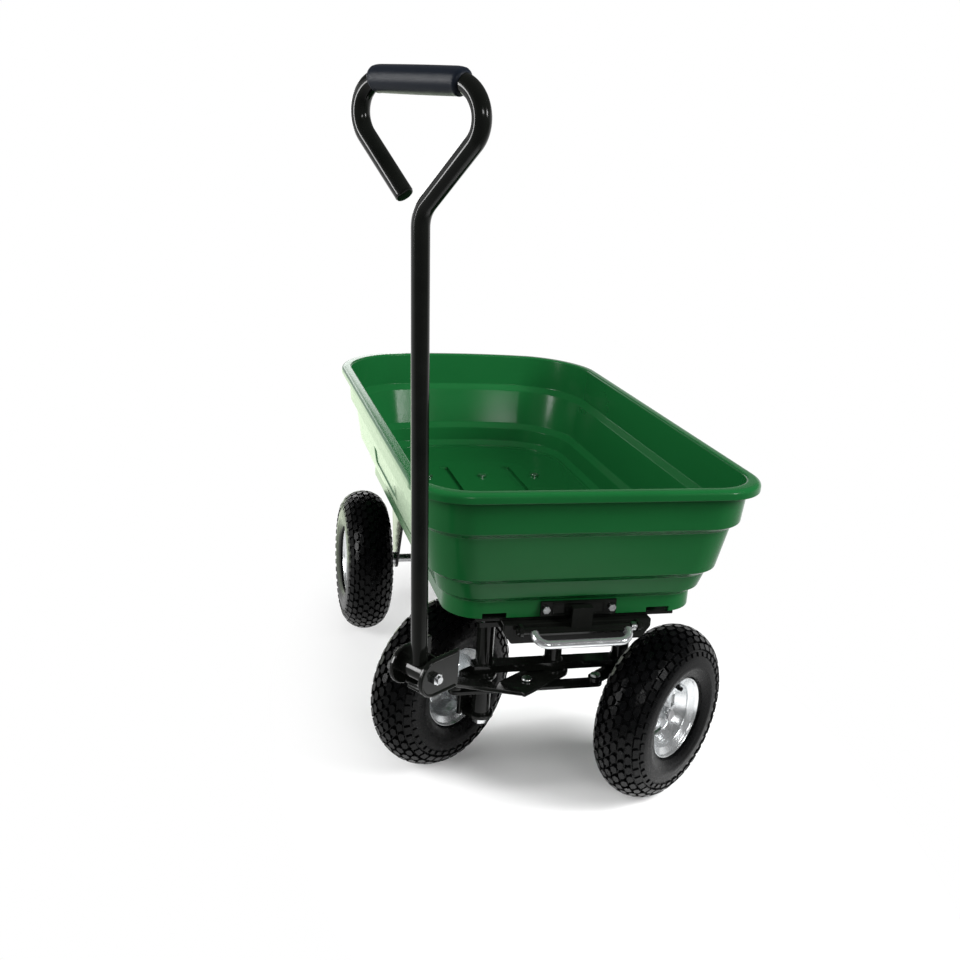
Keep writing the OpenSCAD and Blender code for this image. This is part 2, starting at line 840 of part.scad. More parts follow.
module latch_ears() {
    r = latch_ear_d / 2;
    color("black") to_origin()
        for (k = [-1, 1])
            translate([k * ear_x, latch_y, latch_z]) difference() {
                union() {
                    rod_x(latch_ear_d, latch_ear_t);
                    box([latch_ear_t, r, latch_ear_d], [0, r / 2, -r]);
                }
                rod_x(latch_pin_d + 2 * run_fit, 2 * latch_ear_t);
            }
}

// Latch

// Frame of the latch: X across, Z out along the slope of its handle, from the pivot
module on_latch() {
    translate([0, latch_y, latch_z]) rotate([90 + latch_slope, 0, 0]) children();
}

module latch_pin() {
    l = 2 * ear_x + latch_ear_t + 2 * thread_end;
    translate([0, latch_y, latch_z]) rod_x(latch_pin_d, l);
}

// Bright rod bent to a U, with both ends welded to the pivot pin
module latch_bar() {
    arm = latch_reach - latch_r;
    color("silver") to_origin() difference() {
        on_latch() translate([-latch_half, 0, 0])
            bent_rod([[arm], [latch_r, 90], [latch_w - 2 * latch_r], [latch_r, 90], [arm]], latch_rod_d);
        latch_pin();
    }
}

// Pivot pin, a plate between the arms of the latch handle and a nose in front of the keeper
module latch_plate() {
    plate_l = 8;
    nose_y = catch_front - keeper_reach - nose_gap;
    color("dimgray") to_origin() {
        latch_pin();
        on_latch() difference() {
            translate([-latch_half, -latch_t / 2, 0]) cube([latch_w, latch_t, plate_l]);
            for (k = [-1, 1])
                translate([k * latch_half, 0, -through]) cylinder(d = latch_rod_d, h = latch_reach);
        }
        translate([-nose_w / 2, latch_y - latch_t, latch_z])
            cube([nose_w, latch_t, nose_top - latch_z]);
        translate([-nose_w / 2, latch_y - latch_t, nose_top - latch_t])
            cube([nose_w, nose_y - latch_y + latch_t, latch_t]);
    }
}

// Return spring, wound on the right end of the latch pivot
module latch_spring() {
    wire = 2;
    color("silver") to_origin()
        translate([spring_x + spring_l / 2, latch_y, latch_z]) along_x(spring_l)
            linear_extrude(spring_l) ring(latch_pin_d + 2 * wire, latch_pin_d);
}

// Drawbar

module yoke_plate() {
    color("black") to_origin() steered(0) difference() {
        union() {
            translate([0, 0, arm_z]) cylinder(d = yoke_w, h = plate_t);
            box([yoke_w, yoke_flat_l, plate_t], [0, -yoke_flat_l / 2, arm_z]);
            translate([0, 0, arm_z]) cylinder(d = boss_d, h = beam_z - side_gap - arm_z);
        }
        translate([0, 0, arm_z - through])
            cylinder(d = kingpin_d + 2 * run_fit, h = beam_z - arm_z + through);
        translate([0, -arm_l, arm_z - through])
            cylinder(d = tie_pin_d + 2 * run_fit, h = plate_t + 2 * through);
    }
}

// Sloping bar from the yoke plate up to the back of the clevis
module yoke_arm() {
    rise_end = drawbar_l - clevis_back;
    end_z = clevis_z - ear_d / 2;
    color("black") to_origin() steered(0) rotate([90, 0, -90]) translate([0, 0, -drawbar_w / 2])
        linear_extrude(drawbar_w)
            polygon([
                [yoke_flat_l, arm_z], [rise_end, end_z - plate_t], [drawbar_l, end_z - plate_t],
                [drawbar_l, end_z], [rise_end, end_z], [yoke_flat_l, arm_z + plate_t]
            ]);
}

// Channel with two round-fronted ears for the handle bolt
module clevis() {
    web_h = ear_d / 2;
    color("black") to_origin() steered(0) translate([0, -drawbar_l, clevis_z]) difference() {
        union() {
            for (k = [-1, 1])
                translate([k * (clevis_gap + ear_t) / 2, 0, 0]) {
                    rod_x(ear_d, ear_t);
                    box([ear_t, clevis_back, ear_d], [0, clevis_back / 2, -ear_d / 2]);
                }
            box([clevis_gap + ear_t, ear_t, web_h], [0, clevis_back - ear_t / 2, -ear_d / 2]);
            box([clevis_gap + ear_t, clevis_back, ear_t], [0, clevis_back / 2, -ear_d / 2]);
        }
        rod_x(clevis_bolt_d, 2 * clevis_gap);
    }
}

module clevis_bolt() {
    l = clevis_gap + 2 * ear_t;
    head_h = 6;
    head_d = 17;
    color("silver") to_origin() steered(0) translate([0, -drawbar_l, clevis_z]) {
        rod_x(clevis_bolt_d, l + 2 * (head_h + thread_end));
        for (k = [0, 1])
            mirror([k, 0, 0]) translate([l / 2, 0, 0]) rotate([0, 90, 0]) hex(head_d, head_h);
    }
}

// Knuckles and tie bar

// Bracket that swings on a kingpin: two flanges, a sleeve, an outer plate and a steering arm
module knuckle(hand) {
    flange_l = knuckle_plate_x + plate_t;
    on_knuckle(hand) difference() {
        union() {
            for (z = [knuckle_bottom_z, arm_z]) {
                translate([0, 0, z]) cylinder(d = boss_d, h = plate_t);
                box([flange_l, boss_d, plate_t], [flange_l / 2, 0, z]);
            }
            translate([0, 0, knuckle_bottom_z])
                cylinder(d = sleeve_d, h = beam_z - side_gap - knuckle_bottom_z);
            box([plate_t, knuckle_plate_l, arm_z + plate_t - knuckle_bottom_z],
                [knuckle_plate_x + plate_t / 2, 0, knuckle_bottom_z]);
            box([arm_w, arm_l, plate_t], [0, -arm_l / 2, arm_z]);
            translate([0, -arm_l, arm_z]) cylinder(d = arm_w, h = plate_t);
        }
        translate([0, 0, knuckle_bottom_z - through])
            cylinder(d = kingpin_d + 2 * run_fit, h = beam_z - knuckle_bottom_z + 2 * through);
        translate([0, -arm_l, arm_z - through])
            cylinder(d = tie_pin_d + 2 * run_fit, h = plate_t + 2 * through);
    }
}

module knuckle_left() {
    color("black") to_origin() knuckle(left);
}

module knuckle_right() {
    color("black") to_origin() knuckle(right);
}

// Stub axle with a shoulder behind the hub
module spindle(hand) {
    root = knuckle_plate_x + plate_t;
    shoulder_l = spindle_off - hub_in - side_gap - root;
    on_knuckle(hand) translate([root, 0, wheel_r]) rotate([0, 90, 0]) {
        cylinder(d = spindle_d, h = spindle_off - root + spindle_tip);
        cylinder(d = shoulder_d, h = shoulder_l);
    }
}

module spindle_left() {
    color("silver") to_origin() spindle(left);
}

module spindle_right() {
    color("silver") to_origin() spindle(right);
}

module spindle_nut_left() {
    color("silver") to_origin() on_front_wheel(left) hub_nut();
}

module spindle_nut_right() {
    color("silver") to_origin() on_front_wheel(right) hub_nut();
}

module tie_bar() {
    color("black") to_origin() translate(arm_l * forward) difference() {
        union() {
            box([2 * kingpin_x, arm_w, plate_t], [0, axle_y, tie_z]);
            for (x = [-kingpin_x, kingpin_x])
                translate([x, axle_y, tie_z]) cylinder(d = arm_w, h = plate_t);
        }
        pivot_places()
            translate([0, 0, tie_z - through]) cylinder(d = tie_pin_d, h = plate_t + 2 * through);
    }
}

module tie_pins() {
    head_h = 4;
    head_rim = 3;
    head_d = tie_pin_d + 2 * head_rim;
    top = arm_z + plate_t + side_gap;
    color("silver") to_origin() translate(arm_l * forward) pivot_places() {
        translate([0, 0, tie_z]) cylinder(d = tie_pin_d, h = top - tie_z);
        translate([0, 0, top]) cylinder(d = head_d, h = head_h);
    }
}

// Handle

module handle_eye() {
    l = clevis_gap - 2 * side_gap;
    color("black") to_origin() on_handle() along_x(l)
        linear_extrude(l) ring(eye_d, clevis_bolt_d + 2 * run_fit);
}

// Shaft, neck, leg, corner, top bar, corner and the free leg
module handle_tube() {
    steps = [
        [shaft_l], [neck_r, leg_angle], [leg_run], [loop_r, -corner_turn], [2 * bar_half],
        [loop_r, -corner_turn], [free_leg_l]
    ];
    color("black") to_origin() on_handle() difference() {
        swept_tube(trace(steps, [0, 0, 0]), tube_d, tube_d - 2 * tube_wall);
        rod_x(eye_d + 2 * run_fit, 2 * tube_d);
    }
}

// Sleeve over the top bar and the start of each loop corner
module foam_grip() {
    steps = [[loop_r, -grip_wrap], [2 * bar_half], [loop_r, -grip_wrap]];
    start = [
        loop_shift + bar_half + loop_r * sin(grip_wrap),
        loop_centre_s + loop_r * cos(grip_wrap),
        grip_wrap - 90
    ];
    color("dimgray") to_origin() on_handle()
        swept_tube(trace(steps, start), grip_d, tube_d + 2 * side_gap);
}

// Wheels

// Tyre section: a round casing on two bead feet, with a seat for each rim flange
module tyre_section() {
    bead_top = rim_d / 2 + side_gap + bead_h;
    difference() {
        translate([tyre_ring_r, 0]) circle(r = tyre_r);
        intersection() {
            translate([tyre_ring_r, 0]) circle(r = tyre_r - tyre_wall);
            translate([bead_top, -tyre_w]) square([wheel_d, 2 * tyre_w]);
        }
        translate([0, -tyre_w]) square([bead_d / 2, 2 * tyre_w]);
        for (k = [0, 1])
            mirror([0, k]) translate([0, rim_half]) square([rim_d / 2 + side_gap, tyre_w]);
        translate([0, -rim_half + tyre_wall]) square([tyre_ring_r, rim_w - 2 * tyre_wall]);
    }
}

module tyre() {
    color("black") rotate([0, 90, 0]) rotate_extrude($fn = 96) tyre_section();
}

// Pressed rim: a barrel with two flanges and a slotted, dished web welded to the hub
module rim() {
    barrel = bead_d / 2;
    color("silver") rotate([0, 90, 0]) difference() {
        rotate_extrude($fn = 96) {
            difference() {
                translate([barrel - rim_t, -rim_half - rim_t])
                    square([rim_d / 2 - barrel + rim_t, rim_w + 2 * rim_t]);
                translate([barrel, -rim_half]) square([rim_d, rim_w]);
            }
            polygon([
                [hub_d / 2, 0], [barrel - dish_w, 0], [barrel - rim_t / 2, dish_l],
                [barrel - rim_t / 2, dish_l + rim_t], [barrel - dish_w, rim_t], [hub_d / 2, rim_t]
            ]);
        }
        for (i = [0:web_slots - 1])
            rotate([0, 0, 45 + 360 * i / web_slots]) translate([web_slot_r, 0, -through])
                linear_extrude(rim_t + 2 * through) {
                    square([web_slot_w, web_slot_l], center = true);
                    for (k = [-1, 1])
                        translate([0, k * web_slot_l / 2]) circle(d = web_slot_w);
                }
    }
}

// Hub tube with a counterbore at each end for a bearing
module hub() {
    color("silver") translate([-hub_offset, 0, 0]) along_x(hub_l) difference() {
        cylinder(d = hub_d, h = hub_l);
        translate([0, 0, -through]) cylinder(d = bearing_d - 2 * bearing_step, h = hub_l + 2 * through);
        translate([0, 0, -through]) cylinder(d = bearing_d, h = bearing_w + through);
        translate([0, 0, hub_l - bearing_w]) cylinder(d = bearing_d, h = bearing_w + through);
    }
}

module bearings() {
    color("gray")
        for (k = [-1, 1])
            translate([k * (hub_l - bearing_w) / 2 - hub_offset, 0, 0]) along_x(bearing_w)
                linear_extrude(bearing_w) ring(bearing_d, spindle_d + 2 * run_fit);
}

tray();
catch_bracket();
catch_bolts();
bed_rail_left();
bed_rail_right();
bed_crossbars();
bed_front_bar();
hinge_straps();
floor_bolts();
cross_member();
rail_left();
rail_right();
bolster();
axle_beam();
axle_posts();
pivot_bolts();
pivot_nuts();
rear_cross();
rear_bracket_left();
rear_bracket_right();
rear_axle();
rear_collars();
rear_axle_nuts();
hinge_pin();
latch_ears();
latch_bar();
latch_plate();
latch_spring();
yoke_plate();
yoke_arm();
clevis();
clevis_bolt();
knuckle_left();
spindle_left();
spindle_nut_left();
knuckle_right();
spindle_right();
spindle_nut_right();
tie_bar();
tie_pins();
handle_eye();
handle_tube();
foam_grip();
to_origin() on_front_wheel(left) tyre();  // tyre_front_left
to_origin() on_front_wheel(left) rim();  // rim_front_left
to_origin() on_front_wheel(left) hub();  // hub_front_left
to_origin() on_front_wheel(left) bearings();  // bearings_front_left
to_origin() on_front_wheel(right) tyre();  // tyre_front_right
to_origin() on_front_wheel(right) rim();  // rim_front_right
to_origin() on_front_wheel(right) hub();  // hub_front_right
to_origin() on_front_wheel(right) bearings();  // bearings_front_right
to_origin() on_rear_wheel(left) tyre();  // tyre_rear_left
to_origin() on_rear_wheel(left) rim();  // rim_rear_left
to_origin() on_rear_wheel(left) hub();  // hub_rear_left
to_origin() on_rear_wheel(left) bearings();  // bearings_rear_left
to_origin() on_rear_wheel(right) tyre();  // tyre_rear_right
to_origin() on_rear_wheel(right) rim();  // rim_rear_right
to_origin() on_rear_wheel(right) hub();  // hub_rear_right
to_origin() on_rear_wheel(right) bearings();  // bearings_rear_right
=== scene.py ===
"""Looks of a tipping garden dump cart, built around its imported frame."""
import json
import math

import bmesh
import bpy
from mathutils import Matrix, Vector
from mathutils.geometry import delaunay_2d_cdt


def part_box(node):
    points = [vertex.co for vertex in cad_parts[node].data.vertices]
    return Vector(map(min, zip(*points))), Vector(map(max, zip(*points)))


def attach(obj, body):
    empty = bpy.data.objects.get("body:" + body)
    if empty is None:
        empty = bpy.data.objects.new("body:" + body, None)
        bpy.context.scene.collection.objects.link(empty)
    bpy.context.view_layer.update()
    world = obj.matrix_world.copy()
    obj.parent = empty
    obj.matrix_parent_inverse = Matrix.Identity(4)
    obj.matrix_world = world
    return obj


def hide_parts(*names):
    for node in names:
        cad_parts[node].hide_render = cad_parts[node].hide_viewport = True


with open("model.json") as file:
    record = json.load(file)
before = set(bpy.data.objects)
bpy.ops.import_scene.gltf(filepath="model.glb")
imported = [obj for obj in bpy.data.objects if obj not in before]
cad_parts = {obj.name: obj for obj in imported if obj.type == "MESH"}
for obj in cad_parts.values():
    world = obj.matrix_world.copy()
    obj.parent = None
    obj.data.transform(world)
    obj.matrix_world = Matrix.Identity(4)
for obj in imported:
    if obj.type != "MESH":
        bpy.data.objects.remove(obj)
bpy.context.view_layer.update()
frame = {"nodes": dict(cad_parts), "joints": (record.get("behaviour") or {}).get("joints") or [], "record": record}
scene = bpy.context.scene
joints = {j["name"]: j for j in frame["joints"]}
node_slots = {s["node"]: s["material_slot"] for s in frame["record"]["subparts"]}
node_body = {n: body for body, names in frame["record"]["behaviour"]["bodies"].items() for n in names}

MM = 0.001
UP = Vector((0, 0, 1))
# Distance of the tipping hinge behind the front rim, which ties cart coordinates to the frame
HINGE_Y = 815.0
HINGE = Vector(joints["tray_tip"]["pos_m"])
ORIGIN = Vector((HINGE.x, HINGE.y - HINGE_Y * MM, 0.0))


def cart(x, y, z):
    """A point of the frame from cart coordinates in millimetres."""
    return ORIGIN + Vector((x, y, z)) * MM


def extent(node):
    """Size of a CAD node along X, Y and Z in millimetres."""
    low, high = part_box(node)
    return [(b - a) / MM for a, b in zip(low, high)]


# Materials

# Where a noise, or a cell pattern, starts and ends to turn from one value to the other
NOISE_STOPS, CELL_STOPS = (0.3, 0.7), (0.05, 0.6)
# Detail of the noise in colours, roughness and bumps
COLOUR_DETAIL, ROUGH_DETAIL, BUMP_DETAIL = 4.0, 5.0, 3.0


def node_tree(name):
    """A new material with a Principled shader, as (material, tree, shader)."""
    mat = bpy.data.materials.new(name)
    mat.use_nodes = True
    return mat, mat.node_tree, mat.node_tree.nodes["Principled BSDF"]


def add(tree, kind, **values):
    """A node whose sockets or settings have the given values."""
    node = tree.nodes.new(kind)
    for key, value in values.items():
        if key in node.inputs:
            node.inputs[key].default_value = value
        else:
            setattr(node, key, value)
    return node


def pattern(tree, scale, detail, stretch=(1.0, 1.0, 1.0), cells=False):
    """Noise, or the distance to the middle of a cell, over the piece in metres, as a socket."""
    coord = add(tree, "ShaderNodeTexCoord")
    mapping = add(tree, "ShaderNodeMapping", Scale=stretch)
    tree.links.new(coord.outputs["Object"], mapping.inputs["Vector"])
    if cells:
        tex = add(tree, "ShaderNodeTexVoronoi", Scale=scale)
    else:
        tex = add(tree, "ShaderNodeTexNoise", Scale=scale, Detail=detail)
    tree.links.new(mapping.outputs["Vector"], tex.inputs["Vector"])
    return tex.outputs["Distance" if cells else "Fac"]


def ramp(tree, socket, low, high, stops=NOISE_STOPS):
    """A socket mapped between its stops to two colours, or two numbers."""
    node = add(tree, "ShaderNodeValToRGB")
    if not hasattr(low, "__len__"):
        low, high = (low,) * 3, (high,) * 3
    for element, place, colour in zip(node.color_ramp.elements, stops, (low, high)):
        element.position = place
        element.color = (*colour, 1)
    tree.links.new(socket, node.inputs["Fac"])
    return node.outputs["Color"]


def bump(tree, shader, heights):
    """Bumps on a shader: heights are (socket, strength, distance in metres)."""
    last = None
    for socket, strength, distance in heights:
        node = add(tree, "ShaderNodeBump", Strength=strength, Distance=distance)
        tree.links.new(socket, node.inputs["Height"])
        if last:
            tree.links.new(last, node.inputs["Normal"])
        last = node.outputs["Normal"]
    tree.links.new(last, shader.inputs["Normal"])


def finish(name, colours, rough, spots=30.0, stretch=(1.0, 1.0, 1.0), cells=False, rough_spots=80.0,
           bumps=(), **settings):
    """A material whose colour and roughness vary between two values each.

    Bumps are (scale, strength, depth in metres). Settings are values of the shader's own sockets.
    """
    mat, tree, shader = node_tree(name)
    colour = pattern(tree, spots, COLOUR_DETAIL, stretch, cells)
    stops = CELL_STOPS if cells else NOISE_STOPS
    tree.links.new(ramp(tree, colour, *colours, stops), shader.inputs["Base Color"])
    tree.links.new(ramp(tree, pattern(tree, rough_spots, ROUGH_DETAIL), *rough), shader.inputs["Roughness"])
    for key, value in settings.items():
        shader.inputs[key.replace("_", " ")].default_value = value
    heights = [(pattern(tree, scale, BUMP_DETAIL), strength, depth) for scale, strength, depth in bumps]
    bump(tree, shader, heights)
    return mat


# Glossy moulded plastic with faint flow marks and a slow waviness
GREEN = finish(
    "tray_green", ((0.0052, 0.070, 0.0165), (0.0068, 0.082, 0.0205)), (0.16, 0.23), spots=5.0,
    stretch=(1.0, 0.3, 1.6), rough_spots=140.0, bumps=((1500.0, 0.006, 0.0003), (9.0, 0.03, 0.002)),
    Specular_IOR_Level=0.16,
)
# Black powder coat with a fine orange peel
BLACK = finish(
    "black_powder_coat", ((0.0032, 0.0037, 0.0031), (0.0054, 0.0060, 0.0052)), (0.08, 0.13),
    bumps=((700.0, 0.008, 0.0003), (60.0, 0.015, 0.0008)), Specular_IOR_Level=0.22,
)
# Zinc plate with soft crystal patches
ZINC = finish(
    "bright_zinc_plate", ((0.80, 0.82, 0.83), (0.74, 0.76, 0.77)), (0.20, 0.28), spots=150.0, cells=True,
    bumps=((800.0, 0.05, 0.0003), (70.0, 0.02, 0.0008)), Metallic=0.88,
)
# Duller zinc of the bolts, nuts and spring
BOLT = finish(
    "bolt_zinc", ((0.74, 0.75, 0.76), (0.58, 0.59, 0.60)), (0.18, 0.34), spots=260.0, cells=True,
    bumps=((900.0, 0.06, 0.0003),), Metallic=1.0,
)
# Bare steel with turning marks
STEEL = finish(
    "turned_steel", ((0.34, 0.34, 0.35), (0.46, 0.46, 0.47)), (0.24, 0.38), spots=60.0,
    stretch=(6.0, 1.0, 1.0), bumps=((900.0, 0.05, 0.0004),), Metallic=1.0,
)
# Tyre rubber with a fine moulded grain
RUBBER = finish(
    "tyre_black", ((0.0008, 0.0009, 0.0010), (0.0020, 0.0021, 0.0023)), (0.22, 0.36), spots=24.0,
    rough_spots=120.0, bumps=((1400.0, 0.05, 0.0004), (220.0, 0.04, 0.001)), Specular_IOR_Level=0.13,
)
# Closed-cell foam, finely pitted
FOAM = finish(
    "grip_foam_black", ((0.0032, 0.0046, 0.0076), (0.0064, 0.0090, 0.0144)), (0.32, 0.42), spots=1300.0,
    cells=True, rough_spots=300.0, bumps=((1600.0, 0.16, 0.0005), (60.0, 0.08, 0.002)),
    Sheen_Weight=0.02, Sheen_Roughness=0.4, Specular_IOR_Level=0.14,
)
SLOT_MATERIALS = {"tray_plastic": GREEN, "black_coat": BLACK, "bright_zinc": BOLT, "bare_steel": STEEL,
                  "tyre_rubber": RUBBER, "grip_foam": FOAM}


# Mesh helpers

# Longest part of a side that one rounded corner takes
CORNER_SHARE = 0.48
# Angle above which an edge is sharp, for most pieces, for the tread, for rods and for thin or soft ones
SHARP_DEG, TREAD_DEG, ROD_DEG, SOFT_DEG = 40.0, 38.0, 50.0, 60.0
# Points of a CAD mesh closer than this, in metres, are one, and so are faces less than this apart in degrees
MERGE_GAP, FLAT_DEG = 1e-5, 0.5
# Segments of a broken edge, and the angle above which an edge is broken
BEVEL_SEGMENTS, BEVEL_DEG = 2, 35.0


def new_piece(name, mesh, mat, matrix=None):
    """An object with a mesh, or with a copy of it moved by a matrix."""
    if matrix is not None:
        mesh = mesh.copy()
        mesh.transform(matrix)
    obj = bpy.data.objects.new(name, mesh)
    scene.collection.objects.link(obj)
    mesh.materials.clear()
    mesh.materials.append(mat)
    return obj


def dress(obj, body, slot, *nodes):
    """Lets a piece ride a body and stand for CAD nodes; its slot is not used."""
    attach(obj, body)
    if nodes:
        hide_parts(*nodes)
    return obj


def tidy_normals(mesh, smooth_angle):
    """Faces outward, smooth up to an angle and sharp above it."""
    bm = bmesh.new()
    bm.from_mesh(mesh)
    bmesh.ops.recalc_face_normals(bm, faces=bm.faces)
    bm.to_mesh(mesh)
    bm.free()
    mesh.shade_smooth()
    mesh.set_sharp_from_angle(angle=math.radians(smooth_angle))


def mesh_from(name, shape, smooth_angle=SHARP_DEG):
    """A mesh from (verts, faces), with edges sharp above an angle."""
    verts, faces = shape
    mesh = bpy.data.meshes.new(name)
    mesh.from_pydata([tuple(v) for v in verts], [], faces)
    tidy_normals(mesh, smooth_angle)
    return mesh


def merged(shapes):
    """Several (verts, faces) as one."""
    verts, faces = [], []
    for new_verts, new_faces in shapes:
        base = len(verts)
        verts += list(new_verts)
        faces += [tuple(base + i for i in f) for f in new_faces]
    return verts, faces


def in_metres(shape):
    """Verts and faces in metres from millimetres."""
    return [Vector(v) * MM for v in shape[0]], shape[1]


def fillet(points, closed=False, steps=4):
    """A polyline of (x, y, radius) with its corners rounded, as (x, y) pairs."""
    n = len(points)
    out = []
    for i, (x, y, r) in enumerate(points):
        here = Vector((x, y))
        if r <= 0 or (not closed and i in (0, n - 1)):
            out.append(here)
            continue
        a = Vector(points[i - 1][:2]) - here
        b = Vector(points[(i + 1) % n][:2]) - here
        half = a.angle(b) / 2
        cut = min(r / math.tan(half), CORNER_SHARE * a.length, CORNER_SHARE * b.length)
        r = cut * math.tan(half)
        p, q = here + a.normalized() * cut, here + b.normalized() * cut
        centre = here + (a.normalized() + b.normalized()).normalized() * (r / math.sin(half))
        u, v = p - centre, q - centre
        turn = u.angle_signed(v)
        out += [centre + Matrix.Rotation(-turn * k / steps, 2) @ u for k in range(steps + 1)]
    return [tuple(p) for p in out]


def lathe(profile, segments):
    """Verts and faces of a closed profile of (along, radius) turned about X."""
    verts, faces = [], []
    n = len(profile)
    for k in range(segments):
        a = 2 * math.pi * k / segments
        verts += [(along, r * math.cos(a), r * math.sin(a)) for along, r in profile]
        base, nxt = k * n, (k + 1) % segments * n
        for i in range(n):
            j = (i + 1) % n
            faces.append((base + i, base + j, nxt + j, nxt + i))
    return verts, faces


def sweep(path, radii, sides=24):
    """Verts and faces of a round rod along a path, with its section carried along without twist."""
    pts = [Vector(p) for p in path]
    last = len(pts) - 1
    tangents = [(pts[min(i + 1, last)] - pts[max(i - 1, 0)]).normalized() for i in range(last + 1)]
    if not hasattr(radii, "__len__"):
        radii = [radii] * (last + 1)
    ref = tangents[0].orthogonal().normalized()
    verts, faces = [], []
    for i, (p, t, r) in enumerate(zip(pts, tangents, radii)):
        if i:
            ref = tangents[i - 1].rotation_difference(t) @ ref
        bi = t.cross(ref)
        for k in range(sides):
            a = 2 * math.pi * k / sides
            verts.append(p + (ref * math.cos(a) + bi * math.sin(a)) * r)
    for i in range(last):
        for k in range(sides):
            j = (k + 1) % sides
            faces.append((i * sides + k, i * sides + j, (i + 1) * sides + j, (i + 1) * sides + k))
    faces.append(tuple(range(sides)))
    faces.append(tuple(range(last * sides, (last + 1) * sides)))
    return verts, faces


def bent_path(start, heading, steps, plane, step_deg=5.0):
    """Points of straight runs (length,) and bends (radius, degrees) in a plane (u, v).

    The heading, in degrees, turns from v to u.
    """
    u, v = plane
    pos, h = Vector(start), math.radians(heading)
    out = [pos.copy()]
    for s in steps:
        if len(s) == 1:
            pos = pos + (u * math.sin(h) + v * math.cos(h)) * s[0]
            out.append(pos.copy())
            continue
        r, turn = s[0], math.radians(s[1])
        sign = 1 if turn > 0 else -1
        centre = pos + (u * math.cos(h) - v * math.sin(h)) * r * sign
        n = max(2, int(abs(s[1]) / step_deg))
        for k in range(1, n + 1):
            hk = h + turn * k / n
            pos = centre - (u * math.cos(hk) - v * math.sin(hk)) * r * sign
            out.append(pos.copy())
        h += turn
    return out


def prism(ring, low, high):
    """Verts and faces of a ring of (y, z) drawn along X."""
    n = len(ring)
    verts = [(x, y, z) for x in (low, high) for y, z in ring]
    faces = [(i, (i + 1) % n, n + (i + 1) % n, n + i) for i in range(n)]
    return verts, faces + [tuple(range(n)), tuple(range(n, 2 * n))]


def cut_mesh(mesh, cutter_shape):
    """The mesh with a shape taken out of it."""
    body = bpy.data.objects.new("cut_body", mesh)
    cutter = bpy.data.objects.new("cut_tool", mesh_from("cut_tool", cutter_shape))
    for o in (body, cutter):
        scene.collection.objects.link(o)
    mod = body.modifiers.new("cut", "BOOLEAN")
    mod.operation = "DIFFERENCE"
    mod.solver = "EXACT"
    mod.object = cutter
    bpy.context.view_layer.update()
    result = bpy.data.meshes.new_from_object(body.evaluated_get(bpy.context.evaluated_depsgraph_get()))
    for o in (body, cutter):
        bpy.data.objects.remove(o)
    tidy_normals(result, SHARP_DEG)
    return result


def weigh_normals(obj):
    """Keeps broad faces flat beside their rounded edges."""
    weighted = obj.modifiers.new("normals", "WEIGHTED_NORMAL")
    weighted.keep_sharp = True


def bevelled(node, width, mat):
    """A piece with the node's own shape and softly broken edges."""
    name = node + "_edged"
    bm = bmesh.new()
    bm.from_mesh(frame["nodes"][node].data)
    bmesh.ops.remove_doubles(bm, verts=bm.verts, dist=MERGE_GAP)
    bmesh.ops.dissolve_limit(bm, angle_limit=math.radians(FLAT_DEG), verts=bm.verts, edges=bm.edges)
    mesh = bpy.data.meshes.new(name)
    bm.to_mesh(mesh)
    bm.free()
    tidy_normals(mesh, BEVEL_DEG)
    obj = new_piece(name, mesh, mat)
    mod = obj.modifiers.new("edges", "BEVEL")
    mod.width = width
    mod.segments = BEVEL_SEGMENTS
    mod.limit_method = "ANGLE"
    mod.angle_limit = math.radians(BEVEL_DEG)
    mod.use_clamp_overlap = True
    weigh_normals(obj)
    return dress(obj, node_body[node], node_slots[node], node)


# Camera at the photograph's angle

# Its place in the cart's millimetres, and how far it turns to the right, looks down and tilts, in degrees
CAMERA_AT, CAMERA_TURNS = (-519.1, -1269.0, 949.2), (15.2, 17.6, 4.1)
# Sensor and lens in millimetres, and how far it sees in metres
SENSOR_W, LENS, SIGHT = 36.0, 41.0, 60.0


def camera():
    """The camera, placed and turned as the one that took the photograph."""
    yaw, pitch, roll = (math.radians(turn) for turn in CAMERA_TURNS)
    ahead = Vector((math.sin(yaw) * math.cos(pitch), math.cos(yaw) * math.cos(pitch), -math.sin(pitch)))
    right = Vector((math.cos(yaw), -math.sin(yaw), 0))
    up = right.cross(ahead)
    x_axis = right * math.cos(roll) + up * math.sin(roll)
    y_axis = up * math.cos(roll) - right * math.sin(roll)
    data = bpy.data.cameras.new("camera")
    data.sensor_width = SENSOR_W
    data.lens = LENS
    data.clip_end = SIGHT
    obj = bpy.data.objects.new("camera", data)
    scene.collection.objects.link(obj)
    turn = Matrix((x_axis, y_axis, -ahead)).transposed().to_4x4()
    obj.matrix_world = Matrix.Translation(cart(*CAMERA_AT)) @ turn
    scene.camera = obj


# Tray

TRAY_W, TRAY_L, _ = extent("tray")
SKIRT_Z, RIM_Z = (corner[2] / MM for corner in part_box("tray"))
# Thickness of the wall and the floor, height of the skirt, and how far the floor lies below the last ledge
WALL, FLOOR_T, SKIRT_H, FLOOR_DROP = 4.0, 5.0, 35.0, 3.0
# The rim's lip, and the sloped ledge under each band
LIP_W, LIP_H, LEDGE_W, LEDGE_H = 13.0, 14.0, 10.0, 9.0
# Height and inward lean of the three bands of the wall, from the top
BAND_HS, BAND_LEANS = (44.0, 65.0, 25.0), (4.2, 11.2, 7.0)
# Corners of the outline, the bow of its rear, and how fast the corners shrink as it is drawn in
FRONT_R, REAR_R, REAR_BOW, FRONT_SHRINK, REAR_SHRINK = 75.0, 110.0, 40.0, 0.35, 0.5
# Steps round a front and a rear corner, and along either end
FRONT_N, REAR_N, END_N = 14, 20, 16
FLOOR_Z = SKIRT_Z + SKIRT_H - LEDGE_H + WALL / 2 - FLOOR_DROP
FLOOR_UNDER = FLOOR_Z - FLOOR_T
